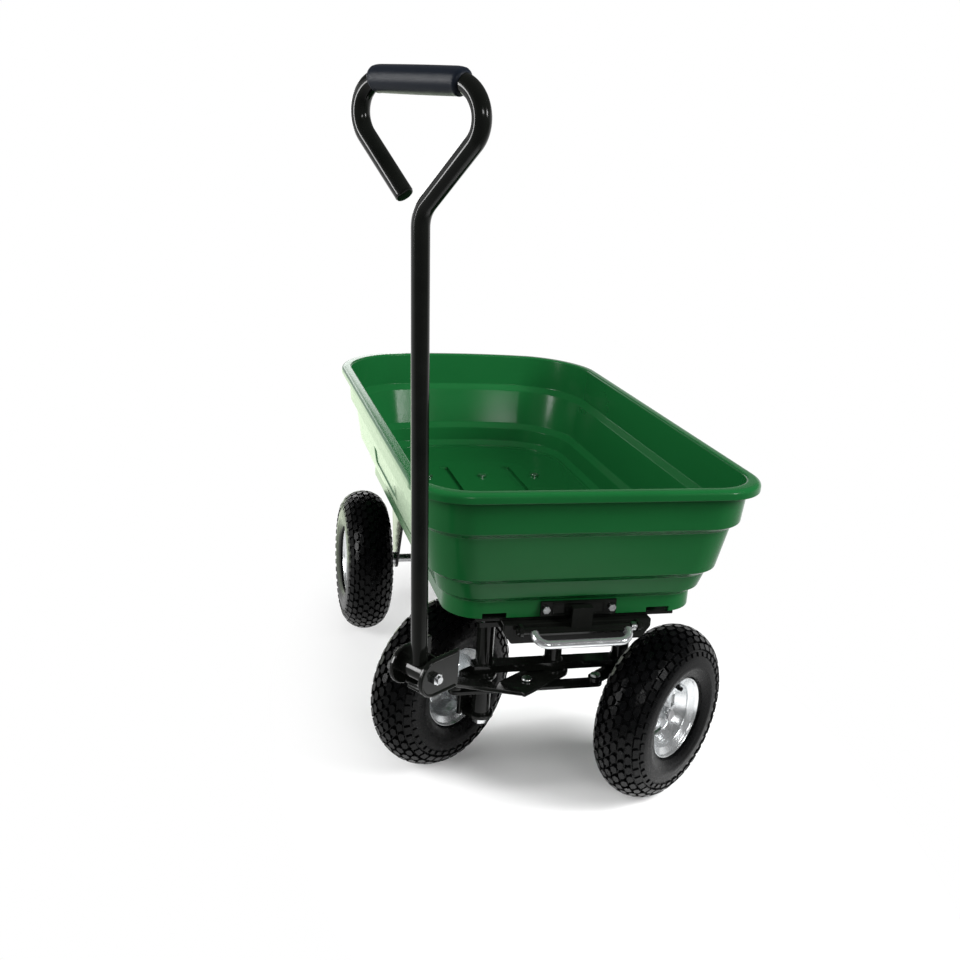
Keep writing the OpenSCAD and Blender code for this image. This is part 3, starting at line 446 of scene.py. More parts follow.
# Plain label recess in the middle band of the left wall, and the plain strip above it
PANEL_Y, PANEL_Z, PANEL_D, PANEL_EDGE, PANEL_STRIP = (345.0, 542.0), (389.0, 418.0), 1.6, 1.5, 12.0
# Grooves in the floor: their places, steps along them, half width, depth and sloped edge
GROOVE_XS, GROOVE_Y, GROOVE_STEP = (-61.0, 61.0), (170.0, 692.0), 26.0
GROOVE_HALF, GROOVE_D, GROOVE_EDGE = 7.0, 4.4, 0.7
# Notches in the front of the skirt, and how far their cutters reach below it
NOTCH_X, NOTCH_W, NOTCH_H, NOTCH_UNDER = 122.0, 35.0, 8.0, 1.0
# Corner radii inside and outside the steps, over the rim, along the lip's edge, in the floor and below it
STEP_IN_R, STEP_OUT_R, RIM_R, EDGE_R, FLOOR_R, UNDER_R = 3.5, 2.5, 6.5, 1.2, 2.0, 3.0
# Broken edge at the foot of the skirt: how far in and up, its radius, and the radius on the inside
FOOT_IN, FOOT_UP, FOOT_R, FOOT_IN_R = 0.6, 0.7, 0.6, 0.8
# How far the underside of the lip falls from the wall to the outside
LIP_FALL = 0.8
# Even places along the sides, in steps, and how far they stay from the ends of the label recess
STATION_STEP, STATIONS, STATION_GAP = 20.0, range(7, 36), 6.0
# Points of a floor closer than this, in millimetres, are one; it is filled only inside its ring
FILL_GAP, INSIDE_ONLY = 1e-4, 1
# How far the inside of the rear wall comes forward at the foot of its middle and lowest bands
REAR_LEANS = (8.0, 4.0)


def side_stations():
    """Places along a straight side, close together at the ends of the label recess."""
    near = [PANEL_Y[0], PANEL_Y[0] + PANEL_EDGE, PANEL_Y[1] - PANEL_EDGE, PANEL_Y[1]]
    even = [STATION_STEP * k for k in STATIONS]
    return sorted([y for y in even if all(abs(y - p) > STATION_GAP for p in near)] + near)


def plan(inset):
    """Outline of the tray drawn in by inset, counter-clockwise from the front left."""
    half = TRAY_W / 2 - inset
    rf = FRONT_R - FRONT_SHRINK * inset
    rr = REAR_R - REAR_SHRINK * inset
    rear = TRAY_L - inset

    def arc(cx, cy, r, start, n):
        turns = [math.radians(start + 90.0 * i / n) for i in range(n + 1)]
        return [(cx + r * math.cos(a), cy + r * math.sin(a)) for a in turns]

    def bowed(points):
        return [(x, y - REAR_BOW * (x / half) ** 2) for x, y in points]

    def straight(x_from, x_to, y):
        return [(x_from + (x_to - x_from) * i / END_N, y) for i in range(1, END_N)]

    xf, xr, yf, yr = half - rf, half - rr, inset + rf, rear - rr
    return (
        arc(-xf, yf, rf, 180, FRONT_N) + straight(-xf, xf, inset) + arc(xf, yf, rf, 270, FRONT_N)
        + [(half, y) for y in side_stations()]
        + bowed(arc(xr, yr, rr, 0, REAR_N) + straight(xr, -xr, rear) + arc(-xr, yr, rr, 90, REAR_N))
        + [(-half, y) for y in reversed(side_stations())]
    )


def tray_profile():
    """Section of the moulding as (inset, height), from the floor inside, over the rim, to the floor below."""
    outer = [(LIP_W, RIM_Z - WALL)]
    inset, z = LIP_W, RIM_Z - WALL - LIP_H - BAND_HS[0]
    for lean, next_h in zip(BAND_LEANS, BAND_HS[1:] + (0.0,)):
        inset += lean
        outer.append((inset, z))
        z -= LEDGE_H
        inset += LEDGE_W
        outer.append((inset, z))
        z -= next_h
    inner = [(i + WALL, h + WALL / 2) for i, h in outer[1:]]
    top, bottom = outer[2], outer[3]

    def on_band(height):
        share = (top[1] - height) / (top[1] - bottom[1])
        return (top[0] + share * (bottom[0] - top[0]), height, 0)

    low, high = PANEL_Z
    panel = [high + PANEL_STRIP, high, high - PANEL_EDGE, low + PANEL_EDGE, low]
    skirt = outer[-1][0]
    corners = [(skirt + 2 * WALL, FLOOR_Z, 0), (skirt + WALL, FLOOR_Z, FLOOR_R)]
    corners += [(i, h, STEP_IN_R) for i, h in reversed(inner)]
    corners += [
        (LIP_W + WALL, RIM_Z, STEP_IN_R), (0.0, RIM_Z, RIM_R),
        (0.0, RIM_Z - LIP_H, EDGE_R), (WALL, RIM_Z - LIP_H, EDGE_R),
        (WALL, RIM_Z - WALL - LIP_FALL, STEP_OUT_R),
    ]
    corners += [(*p, STEP_OUT_R) for p in outer[:3]]
    corners += [on_band(h) for h in panel]
    corners += [(*p, STEP_OUT_R) for p in outer[3:]]
    corners += [
        (skirt, SKIRT_Z + FOOT_UP, FOOT_R), (skirt + FOOT_IN, SKIRT_Z, FOOT_R),
        (skirt + WALL, SKIRT_Z, FOOT_IN_R), (skirt + WALL, FLOOR_UNDER, UNDER_R),
        (skirt + 2 * WALL, FLOOR_UNDER, 0),
    ]
    return fillet(corners)


def band_tops():
    """Heights inside the tray where its lower bands and ledges meet, from the top."""
    tops = [RIM_Z - WALL / 2 - LIP_H - BAND_HS[0] - LEDGE_H]
    for height in BAND_HS[1:]:
        tops += [tops[-1] - height, tops[-1] - height - LEDGE_H]
    return tops


BAND_TOPS = band_tops()
REAR_SHIFTS = (0.0, REAR_LEANS[0], REAR_LEANS[0], REAR_LEANS[1], REAR_LEANS[1])


def rear_lean(y, z):
    """How far a point of the inside comes forward where the rear wall leans more than the sides.

    The lean grows from the tray's middle and is whole from two bows ahead of the rear edge.
    """
    toward_rear = min(1.0, max(0.0, (2 * y - TRAY_L) / (TRAY_L - 4 * REAR_BOW)))
    for high, low, start, end in zip(BAND_TOPS, BAND_TOPS[1:], REAR_SHIFTS, REAR_SHIFTS[1:]):
        if low <= z <= high:
            return toward_rear * (start + (end - start) * (high - z) / (high - low))
    return 0.0 if z > BAND_TOPS[0] else toward_rear * REAR_SHIFTS[-1]


def in_panel(y, z):
    """How deep a point of the left wall lies in the label recess, from 0 to 1."""
    depths = [(v - low, high - v) for v, (low, high) in ((y, PANEL_Y), (z, PANEL_Z))]
    return max(0.0, min(1.0, *(d / PANEL_EDGE for pair in depths for d in pair)))


def groove_depth(x, y):
    """Depth of the floor at a point, from the nearer groove with its sloped sides."""
    across = GROOVE_HALF - min(abs(x - g) for g in GROOVE_XS)
    inside = min(across, y - GROOVE_Y[0], GROOVE_Y[1] - y)
    return GROOVE_D * max(0.0, min(1.0, 0.5 + inside / (2 * GROOVE_EDGE)))


def groove_lines():
    """Points and edges that hold the grooves' shape in the floor."""
    ends = [y + d for y in GROOVE_Y for d in (-GROOVE_EDGE, GROOVE_EDGE)]
    count = int((GROOVE_Y[1] - GROOVE_Y[0]) / GROOVE_STEP)
    ys = sorted(ends + [GROOVE_Y[0] + GROOVE_STEP * k for k in range(1, count + 1)])
    points, edges = [], []
    for x in GROOVE_XS:
        for side in (-GROOVE_HALF, GROOVE_HALF):
            for d in (-GROOVE_EDGE, GROOVE_EDGE):
                start = len(points)
                points += [(x + side + d, y) for y in ys]
                edges += [(start + i, start + i + 1) for i in range(len(ys) - 1)]
    return points, edges


def floor_fill(ring, z, grooved):
    """Triangles across a ring of (x, y): returns new verts, and faces that number the ring first."""
    n = len(ring)
    points, lines = groove_lines() if grooved else ([], [])
    edges = [(i, (i + 1) % n) for i in range(n)] + [(n + a, n + b) for a, b in lines]
    flat, _, faces, origins, _, _ = delaunay_2d_cdt(
        [Vector(p) for p in list(ring) + points], edges, [list(range(n))], INSIDE_ONLY, FILL_GAP)
    index, extra = {}, []
    for i, sources in enumerate(origins):
        ringed = [s for s in sources if s < n]
        index[i] = ringed[0] if ringed else n + len(extra)
        if not ringed:
            x, y = flat[i]
            extra.append((x, y, z - (groove_depth(x, y) if grooved else 0.0)))
    return extra, [tuple(index[i] for i in f) for f in faces]


def shaped_rings(profile):
    """Rings of the moulding, with the rear wall's lean inside and the label recess outside."""
    rim = max(range(len(profile)), key=lambda i: profile[i][1] - profile[i][0])
    rings = []
    for k, (inset, z) in enumerate(profile):
        ring = []
        for x, y in plan(inset):
            if k < rim:
                y -= rear_lean(y, z)
            elif x < -TRAY_W / 4:
                x += PANEL_D * in_panel(y, z)
            ring.append((x, y, z))
        rings.append(ring)
    return rings


def notch_cutters(front):
    """Blocks that cut two notches into the front of the skirt."""
    near, far, low, high = front - WALL, front + 2 * WALL, SKIRT_Z - NOTCH_UNDER, SKIRT_Z + NOTCH_H
    ring = [(near, low), (far, low), (far, high), (near, high)]
    verts, faces = merged(prism(ring, x - NOTCH_W / 2, x + NOTCH_W / 2) for x in (-NOTCH_X, NOTCH_X))
    return [cart(*v) for v in verts], faces


def make_tray():
    """The moulding, with its grooved floor and notched skirt."""
    profile = tray_profile()
    rings = shaped_rings(profile)
    n = len(rings[0])
    verts, faces = [v for ring in rings for v in ring], []
    for k in range(len(rings) - 1):
        for i in range(n):
            j = (i + 1) % n
            faces.append((k * n + i, k * n + j, (k + 1) * n + j, (k + 1) * n + i))
    for k, z, grooved in ((0, FLOOR_Z, True), (len(rings) - 1, FLOOR_UNDER, False)):
        extra, tris = floor_fill([p[:2] for p in rings[k]], z, grooved)
        base = len(verts)
        verts += extra
        faces += [tuple(k * n + i if i < n else base + i - n for i in f) for f in tris]
    mesh = mesh_from("tray_moulding", ([cart(*v) for v in verts], faces))
    mesh = cut_mesh(mesh, notch_cutters(profile[-1][0] - 2 * WALL))
    tray = dress(new_piece("tray_moulding", mesh, GREEN), "tray", "tray_plastic", "tray")
    weigh_normals(tray)


# Wheels

TYRE_W, WHEEL_D, _ = extent("tyre_rear_left")
SECTION_R = TYRE_W / 2
RING_R = WHEEL_D / 2 - SECTION_R
# Heights of the hexagonal blocks, the shoulder bars outside them and the studs outside those
LUG_H, BAR_H, STUD_H = 4.6, 3.6, 2.2
CASING_R = SECTION_R - LUG_H
# Blocks round each row, rows of hexagons to either side of the middle one, and rows out to bars and studs
TREAD_N, HEX_ROWS, BAR_ROW, STUD_ROW, ROW_W = 40, 3, 4.1, 5.2, 10.8
ROW_STEP = ROW_W / SECTION_R
# Half of a hexagon along the tread at its tips and its sides, and half of it across
HEX_TIP, HEX_SIDE, HEX_HALF = 8.9, 5.4, 5.0
# Length along the tread and width across it of a bar and of a stud
BAR_SIZE, STUD_SIZE = (15.5, 10.5), (11.0, 8.0)
# A block starts inside the casing, narrows to its top and has a broken top edge
BLOCK_SINK, BLOCK_TAPER, BREAK_H, BREAK_TAPER = 1.5, 0.86, 0.8, 0.05
# The casing's end in degrees from the middle of the tread, and a raised ring on the sidewall
SIDEWALL_DEG, RING_DEGS, RING_H = 121.0, (94.0, 99.0), 0.9
# Steps across the casing's section, round the tyre and round the rim
SECTION_N, TYRE_N, RIM_N = 50, 120, 96
# Radius of the rim's lip
LIP_R = 63.4
# Bead of the tyre beside the rim's lip, as (along, height over the lip)
TYRE_BEAD = ((33.6, 2.2), (31.0, 0.6), (27.0, 0.0), (27.0, -6.0))
# The rim's web: its two faces along the axle, and its hole for the hub
WEB_BACK, WEB_FRONT, HUB_R = 0.2, 2.6, 19.8
# Slots in the web: number, sides of an outline, radius they lie at, straight length, half width and cut
SLOT_N, SLOT_SIDES, SLOT_AT, SLOT_L, SLOT_HALF, SLOT_CUT = 4, 24, 36.0, 14.0, 4.4, (-6.0, 8.0)
# Valve stem: radius of its foot on the web, lean towards the hub, and (way out, radius) up to its cap
VALVE_AT, VALVE_LEAN = 45.0, 0.12
VALVE = ((1.0, 4.6), (8.0, 3.1), (14.0, 2.9), (14.4, 3.6), (16.0, 3.6), (16.4, 3.4), (18.0, 3.6), (18.4, 3.4),
         (20.0, 3.6), (21.0, 3.3), (21.6, 2.0))
# The front left wheel's turn at rest, and the further turn of each next wheel, in radians
FIRST_TURN, NEXT_TURN = 0.2, 0.7
PLACES = ("front_left", "front_right", "rear_left", "rear_right")


def on_tyre(turn, across, height):
    """Point of the tyre at an angle round the wheel, one across the section and a height over the casing."""
    r = CASING_R + height
    out = RING_R + r * math.cos(across)
    return (r * math.sin(across), out * math.cos(turn), out * math.sin(turn))


def tread_block(turn, across, outline, height):
    """A raised block with a broken top edge: outline is (mm along the tread, mm across) round its centre."""
    n = len(outline)
    reach = RING_R + SECTION_R * math.cos(across)
    levels = ((-BLOCK_SINK, 1.0), (height - BREAK_H, BLOCK_TAPER + BREAK_TAPER), (height, BLOCK_TAPER))
    verts = [on_tyre(turn + u * scale / reach, across + v * scale / SECTION_R, h)
             for h, scale in levels for u, v in outline]
    faces = [(k * n + i, k * n + (i + 1) % n, (k + 1) * n + (i + 1) % n, (k + 1) * n + i)
             for k in range(len(levels) - 1) for i in range(n)]
    return verts, faces + [tuple(range(n)), tuple(range(2 * n, 3 * n))]


def block_row(across, shift, outline, height):
    """A row of blocks round the tyre, shifted by a share of their spacing."""
    turns = [2 * math.pi * (k + shift) / TREAD_N for k in range(TREAD_N)]
    return [tread_block(turn, across, outline, height) for turn in turns]


def rectangle(length, width):
    """Outline of a block, round its centre."""
    u, v = length / 2, width / 2
    return [(-u, -v), (u, -v), (u, v), (-u, v)]


def tyre_mesh():
    """Casing that runs in to the rim's lip, with sidewall rings, tread blocks, shoulder bars and studs."""
    section = []
    for k in range(SECTION_N + 1):
        deg = SIDEWALL_DEG * (2 * k / SECTION_N - 1)
        ringed = RING_DEGS[0] < abs(deg) < RING_DEGS[1]
        r = CASING_R + (RING_H if ringed else 0.0)
        section.append((r * math.sin(math.radians(deg)), RING_R + r * math.cos(math.radians(deg))))
    bead = [(x, LIP_R + height) for x, height in TYRE_BEAD]
    section += bead + [(-x, r) for x, r in reversed(bead)]
    shapes = [lathe(section, TYRE_N)]
    hexagon = [(-HEX_TIP, 0), (-HEX_SIDE, -HEX_HALF), (HEX_SIDE, -HEX_HALF),
               (HEX_TIP, 0), (HEX_SIDE, HEX_HALF), (-HEX_SIDE, HEX_HALF)]
    for row in range(-HEX_ROWS, HEX_ROWS + 1):
        shapes += block_row(row * ROW_STEP, 0.5 * (row % 2), hexagon, LUG_H)
    for side in (-1, 1):
        shapes += block_row(side * BAR_ROW * ROW_STEP, 0.0, rectangle(*BAR_SIZE), BAR_H)
        shapes += block_row(side * STUD_ROW * ROW_STEP, 0.5, rectangle(*STUD_SIZE), STUD_H)
    return mesh_from("tyre_tread", in_metres(merged(shapes)), TREAD_DEG)


def slot_ring(turn):
    """Round-ended outline of a slot at an angle round the wheel, which runs along the circle, as (y, z)."""
    ring = []
    for k in range(SLOT_SIDES):
        a = 2 * math.pi * (k + 0.5) / SLOT_SIDES
        along, out = SLOT_HALF * math.cos(a), SLOT_AT + SLOT_HALF * math.sin(a)
        along += math.copysign(SLOT_L / 2, along)
        y = out * math.cos(turn) - along * math.sin(turn)
        z = out * math.sin(turn) + along * math.cos(turn)
        ring.append((y, z))
    return ring


def rim_mesh():
    """Pressed rim: rolled flanges, drop well and a dished web with oblong slots.

    Its profile is of (along, radius, corner radius).
    """
    flange = [(22.0, 50.0, 4.0), (28.4, 59.5, 3.0), (32.6, LIP_R - 1.2, 1.4), (31.8, LIP_R, 0.8),
              (27.6, LIP_R - 2.4, 2.0), (24.0, 53.0, 2.5), (16.0, 51.2, 3.0)]
    far_flange = [(-x, r, corner) for x, r, corner in reversed(flange)]
    web_front = [(WEB_FRONT, HUB_R, 0), (WEB_FRONT, 40.5, 4.0), (19.0, 49.2, 5.0)]
    web_back = [(-15.0, 49.0, 3.0), (13.0, 48.6, 3.0), (WEB_BACK, 41.2, 4.0), (WEB_BACK, HUB_R, 0)]
    profile = fillet(web_front + flange + far_flange + web_back, closed=True, steps=3)
    mesh = mesh_from("rim_pressed", in_metres(lathe(profile, RIM_N)))
    turns = [2 * math.pi / SLOT_N * k + math.pi / SLOT_N for k in range(SLOT_N)]
    return cut_mesh(mesh, in_metres(merged(prism(slot_ring(turn), *SLOT_CUT) for turn in turns)))


def valve_mesh():
    """Valve stem with a ridged cap, which stands out of the web."""
    path = [(x, VALVE_AT - VALVE_LEAN * x, 0.0) for x, _ in VALVE]
    radii = [r for _, r in VALVE]
    return mesh_from("valve_stem", in_metres(sweep(path, radii, sides=16)), ROD_DEG)


def wheel_matrix(place):
    """Frame of a wheel with X pointing outward."""
    joint = joints["wheel_%s_spin" % place]
    out = Vector(joint["axis"]).normalized() * (-1 if place.endswith("left") else 1)
    turn = Matrix((out, UP.cross(out), UP)).transposed().to_4x4()
    return Matrix.Translation(Vector(joint["pos_m"])) @ turn


def make_wheels():
    """A tyre, a rim and a valve for each wheel, each wheel turned a little further than the last."""
    tyre, rim, valve = tyre_mesh(), rim_mesh(), valve_mesh()
    for index, place in enumerate(PLACES):
        body = "wheel_" + place
        matrix = wheel_matrix(place) @ Matrix.Rotation(NEXT_TURN * index + FIRST_TURN, 4, "X")
        dress(new_piece("tread_" + place, tyre, RUBBER, matrix), body, "tyre_rubber", "tyre_" + place)
        dress(new_piece("pressed_rim_" + place, rim, ZINC, matrix), body, "bright_zinc", "rim_" + place)
        dress(new_piece("valve_" + place, valve, RUBBER, matrix), body, "tyre_rubber")


# Handle

# From the clevis pin to the top bar, half the loop and its shift to the side, bends of the loop and its neck
HANDLE_L, LOOP_HALF, LOOP_SHIFT, LOOP_R, NECK_R = 722.0, 92.0, -4.0, 36.0, 40.0
# Slope of the loop's legs, length of the free one, lean of the shaft, and the grip's reach round the bends
LEG_DEG, FREE_LEG, LEAN_DEG, GRIP_WRAP = 45.0, 87.0, 4.0, 18.0
# Radii of the tube, the grip and the eye at the clevis, and how far the tube runs into the eye
TUBE_R, GRIP_R, EYE_R, EYE_SINK = 11.0, 15.5, 13.0, 1.0
# Steps along the domed plug in the cut end, and how far it has drawn in at its start and after each
PLUG_STEPS, PLUG_INSETS = (1.0, 0.5, 1.5, 0.6, 0.4), (0.0, 0.0, 0.7, 0.8, 2.4, 6.0)
# Rings along the grip, rings that round each end, and how far it swells, drops at its ends and draws in
GRIP_N, GRIP_END_N, GRIP_SWELL, GRIP_DROP, GRIP_IN = 72, 2.2, 0.35, 3.2, 0.4


def handle_frame():
    """The clevis pin's place, and the directions along the pin, forward and up the shaft."""
    joint = joints["handle_fold"]
    side = Vector(joint["axis"]).normalized()
    forward = side.cross(UP)
    lean = math.radians(LEAN_DEG)
    return Vector(joint["pos_m"]), side, forward, UP * math.cos(lean) + forward * math.sin(lean)


def in_metre_steps(steps):
    """Runs and bends of a path in metres from millimetres."""
    return [(s[0] * MM,) + s[1:] for s in steps]


def make_handle():
    """Bent tube from the clevis up round the open loop to its free end, and the grip on its top bar."""
    origin, side, _, shaft = handle_frame()
    bar_half = LOOP_HALF - LOOP_R
    leg, wrap = math.radians(LEG_DEG), math.radians(GRIP_WRAP)
    centre_s = HANDLE_L - LOOP_R
    top_w = LOOP_SHIFT + bar_half + LOOP_R * math.cos(leg)
    top_s = centre_s - LOOP_R * math.sin(leg)
    tangent = NECK_R * math.tan(leg / 2)
    neck_s = top_s - top_w / math.tan(leg)
    start_s = EYE_R - EYE_SINK
    corner = (LOOP_R, -90 - LEG_DEG)
    steps = [(neck_s - tangent - start_s,), (NECK_R, LEG_DEG), (top_w / math.sin(leg) - tangent,), corner,
             (2 * bar_half,), corner, (FREE_LEG - sum(PLUG_STEPS),)]
    steps += [(step,) for step in PLUG_STEPS]
    path = bent_path(origin + shaft * start_s * MM, 0.0, in_metre_steps(steps), (side, shaft))
    radii = [TUBE_R] * (len(path) - len(PLUG_INSETS)) + [TUBE_R - inset for inset in PLUG_INSETS]
    tube = mesh_from("handle_bent_tube", sweep(path, [r * MM for r in radii], sides=32))
    dress(new_piece("handle_bent_tube", tube, BLACK), "handle", "black_coat", "handle_tube")
    start = origin + side * (LOOP_SHIFT + bar_half + LOOP_R * math.sin(wrap)) * MM
    start += shaft * (centre_s + LOOP_R * math.cos(wrap)) * MM
    steps = in_metre_steps([(LOOP_R, -GRIP_WRAP), (2 * bar_half,), (LOOP_R, -GRIP_WRAP)])
    make_grip(bent_path(start, GRIP_WRAP - 90.0, steps, (side, shaft), step_deg=3.0))


def resample(path, count):
    """Points at even steps along a path."""
    lengths = [0.0]
    for a, b in zip(path, path[1:]):
        lengths.append(lengths[-1] + (b - a).length)
    out, i = [], 0
    for k in range(count + 1):
        d = lengths[-1] * k / count
        while i < len(path) - 2 and lengths[i + 1] < d:
            i += 1
        span = lengths[i + 1] - lengths[i]
        out.append(path[i].lerp(path[i + 1], (d - lengths[i]) / span if span else 0.0))
    return out


def make_grip(path):
    """Foam sleeve with rounded ends, and a slight swell along its length."""
    radii = []
    for k in range(GRIP_N + 1):
        rounding = max(0.0, 1.0 - min(k, GRIP_N - k) / GRIP_END_N)
        swell = GRIP_SWELL * math.sin(math.pi * (k / GRIP_N))
        radii.append((GRIP_R - GRIP_IN + swell - GRIP_DROP * rounding ** 2) * MM)
    mesh = mesh_from("grip_sleeve", sweep(resample(path, GRIP_N), radii, sides=32), SOFT_DEG)
    grip = dress(new_piece("grip_sleeve", mesh, FOAM), "handle", "grip_foam", "foam_grip")


# Steel pieces with broken edges, and how broad the edges are in millimetres

EDGED = {
    "cross_member": 1.6, "rail_left": 1.5, "rail_right": 1.5, "bolster": 1.2, "axle_beam": 1.2,
    "rear_cross": 1.5, "rear_bracket_left": 1.0, "rear_bracket_right": 1.0, "yoke_plate": 1.2,
    "yoke_arm": 1.2, "clevis": 1.4, "knuckle_left": 1.0, "knuckle_right": 1.0, "tie_bar": 1.0,
    "catch_bracket": 0.8, "latch_plate": 0.8, "bed_rail_left": 1.2, "bed_rail_right": 1.2,
    "bed_crossbars": 0.8, "bed_front_bar": 0.8, "hinge_straps": 0.8, "catch_bolts": 0.5,
    "floor_bolts": 1.7, "pivot_bolts": 0.8, "pivot_nuts": 0.6, "rear_axle_nuts": 0.6, "clevis_bolt": 0.6,
    "spindle_nut_left": 0.6, "spindle_nut_right": 0.6, "latch_ears": 0.8, "tie_pins": 1.4,
}


def make_steel():
    """Edged pieces, and the materials of the CAD nodes that show as they are."""
    for node, width in EDGED.items():
        bevelled(node, width * MM, SLOT_MATERIALS[node_slots[node]])
    for node, obj in frame["nodes"].items():
        obj.data.materials.clear()
        obj.data.materials.append(SLOT_MATERIALS[node_slots[node]])


def clevis_rims():
    """Raised bead round the outer face of each clevis ear."""
    origin, side, forward, _ = handle_frame()
    ear_face, bead_r, edge, back = 28.0, 2.2, 24.6, 40.0
    shapes = []
    for hand in (-1, 1):
        start = origin + (side * hand * ear_face - forward * back + UP * edge) * MM
        steps = in_metre_steps([(back,), (edge, 180.0), (back,)])
        shapes.append(sweep(bent_path(start, 90.0, steps, (forward, UP)), bead_r * MM, sides=12))
    mesh = mesh_from("clevis_rims", merged(shapes), ROD_DEG)
    dress(new_piece("clevis_rims", mesh, BLACK), "yoke", "black_coat")


def latch_rod():
    """Bright U of the latch, thicker and rounder at its bends than the plain node."""
    low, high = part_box("latch_bar")
    node_r, rod_r, bend_r, pin_r = 4.5 * MM, 6.0 * MM, 18.0 * MM, 5.0 * MM
    middle, half = (low[0] + high[0]) / 2, (high[0] - low[0]) / 2 - node_r
    pivot = Vector((middle, *joints["latch_release"]["pos_m"][1:]))
    out = Vector((middle, low[1] + node_r, low[2] + node_r)) - pivot
    arm, across = out.length - pin_r - bend_r, Vector((1, 0, 0))
    start = pivot + out.normalized() * pin_r - across * half
    steps = [(arm,), (bend_r, 90.0), (2 * (half - bend_r),), (bend_r, 90.0), (arm,)]
    path = bent_path(start, 0.0, steps, (across, out.normalized()))
    mesh = mesh_from("latch_rod", sweep(path, rod_r), ROD_DEG)
    dress(new_piece("latch_rod", mesh, ZINC), "latch", "bright_zinc", "latch_bar")


def latch_coil():
    """Wound return spring in place of the plain sleeve."""
    low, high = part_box("latch_spring")
    wire, turns, per_turn = 0.9 * MM, 4.5, 18
    _, mid_y, mid_z = ((a + b) / 2 for a, b in zip(low, high))
    radius = (high[2] - low[2]) / 2 - wire
    steps = int(turns * per_turn)
    path = []
    for k in range(steps + 1):
        a = 2 * math.pi * k / per_turn
        x = low[0] + wire + (high[0] - low[0] - 2 * wire) * k / steps
        path.append((x, mid_y + radius * math.cos(a), mid_z + radius * math.sin(a)))
    mesh = mesh_from("latch_coil", sweep(path, wire, sides=10), SOFT_DEG)
    dress(new_piece("latch_coil", mesh, BOLT), "latch", "bright_zinc", "latch_spring")


# Points round a weld bead, where it starts, how far it goes in degrees, and its ripples
BEAD_N, BEAD_START, BEAD_TURN, RIPPLE, RIPPLE_STEP = 72, 95.0, 350.0, 0.16, 2.4


def ring_bead(centre, radius, bead_r):
    """Weld bead round an upright tube, with ripples and a small gap where it starts and stops."""
    path, radii = [], []
    for k in range(BEAD_N + 1):
        a = math.radians(BEAD_START + BEAD_TURN * k / BEAD_N)
        path.append(centre + Vector((math.cos(a), math.sin(a), 0.0)) * radius)
        radii.append(bead_r * (1.0 + RIPPLE * math.sin(RIPPLE_STEP * k)))
    return sweep(path, radii, sides=8)


def weld_beads():
    """Beads where the axle posts meet the bolster and the beam."""
    low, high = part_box("axle_posts")
    pin_y = joints["yoke_steer"]["pos_m"][1]
    post_r, bead_r = (high[1] - low[1]) / 2, 1.8 * MM
    shapes = []
    for name in ("knuckle_left_steer", "yoke_steer", "knuckle_right_steer"):
        for z in (low[2] + bead_r / 2, high[2] - bead_r / 2):
            centre = Vector((joints[name]["pos_m"][0], pin_y, z))
            shapes.append(ring_bead(centre, post_r + bead_r / 3, bead_r))
    mesh = mesh_from("weld_beads", merged(shapes), SOFT_DEG)
    dress(new_piece("weld_beads", mesh, BLACK), "chassis", "black_coat")


def catch_frame():
    """Raised border on the face of the catch bracket, between its bolts."""
    low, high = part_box("catch_bracket")
    sink, border_r, half, inset = 4.0 * MM, 1.5 * MM, 38.0 * MM, 2.5 * MM
    face, z_low, z_high = high[1] - sink, low[2] + inset, high[2] - inset
    middle = (low[0] + high[0]) / 2
    corners = [(-half, z_low), (half, z_low), (half, z_high), (-half, z_high)]
    shapes = []
    for (xa, za), (xb, zb) in zip(corners, corners[1:] + corners[:1]):
        a, b = Vector((middle + xa, face, za)), Vector((middle + xb, face, zb))
        shapes.append(sweep([a, a.lerp(b, 0.5), b], border_r, sides=10))
    mesh = mesh_from("catch_frame", merged(shapes), ROD_DEG)
    dress(new_piece("catch_frame", mesh, BLACK), "tray", "black_coat")


# Stage and light

# Half width of the floor in metres, its grey and its roughness
FLOOR_HALF, FLOOR_COLOUR, FLOOR_ROUGH = 14.0, 0.97, 0.6
# Where the kept shadow starts and ends to turn to plain white, and how much white lies over its middle
SHADOW_FROM, SHADOW_TO, NEAR_GLOW = 0.40, 0.95, 0.06
# Middle of the kept shadow, and how much sooner it ends to the sides than along the cart
SHADOW_X, SHADOW_Y, SHADOW_SIDES = 0.10, -0.12, 2.0
# Light of the backdrop on matt faces, and as mirrored from the front, from the floor in front and from above
DIFFUSE_LEVEL, ROOM_LEVEL, FRONT_LEVEL, TOP_LEVEL = 0.28, 0.10, 0.14, 0.12
# Where the mirrored floor and backdrop turn from dark in front to white behind, and from white to dark above
FLOOR_FADE, ROOM_FADE, SKY_FADE = (-1.3, 0.6), (-0.45, 0.35), (0.12, 0.28)
WHITE = (1.0, 1.0, 1.0)


def feed(tree, source, socket):
    """Links a socket to another one, or gives it a number."""
    if isinstance(source, bpy.types.NodeSocket):
        tree.links.new(source, socket)
    else:
        socket.default_value = source


def map_range(tree, value, start, end, low, high):
    """A socket mapped from start..end to low..high, each of which is a number or a socket."""
    node = add(tree, "ShaderNodeMapRange", **{"From Min": start, "From Max": end})
    for key, source in (("Value", value), ("To Min", low), ("To Max", high)):
        feed(tree, source, node.inputs[key])
    return node.outputs["Result"]


def maths(tree, operation, *sources):
    """The result of an operation on two sockets."""
    node = add(tree, "ShaderNodeMath", operation=operation)
    for source, socket in zip(sources, node.inputs):
        feed(tree, source, socket)
    return node.outputs[0]


def axes_of(tree, vector):
    """The X, Y and Z sockets of a vector."""
    axes = add(tree, "ShaderNodeSeparateXYZ")
    tree.links.new(vector, axes.inputs[0])
    return axes.outputs


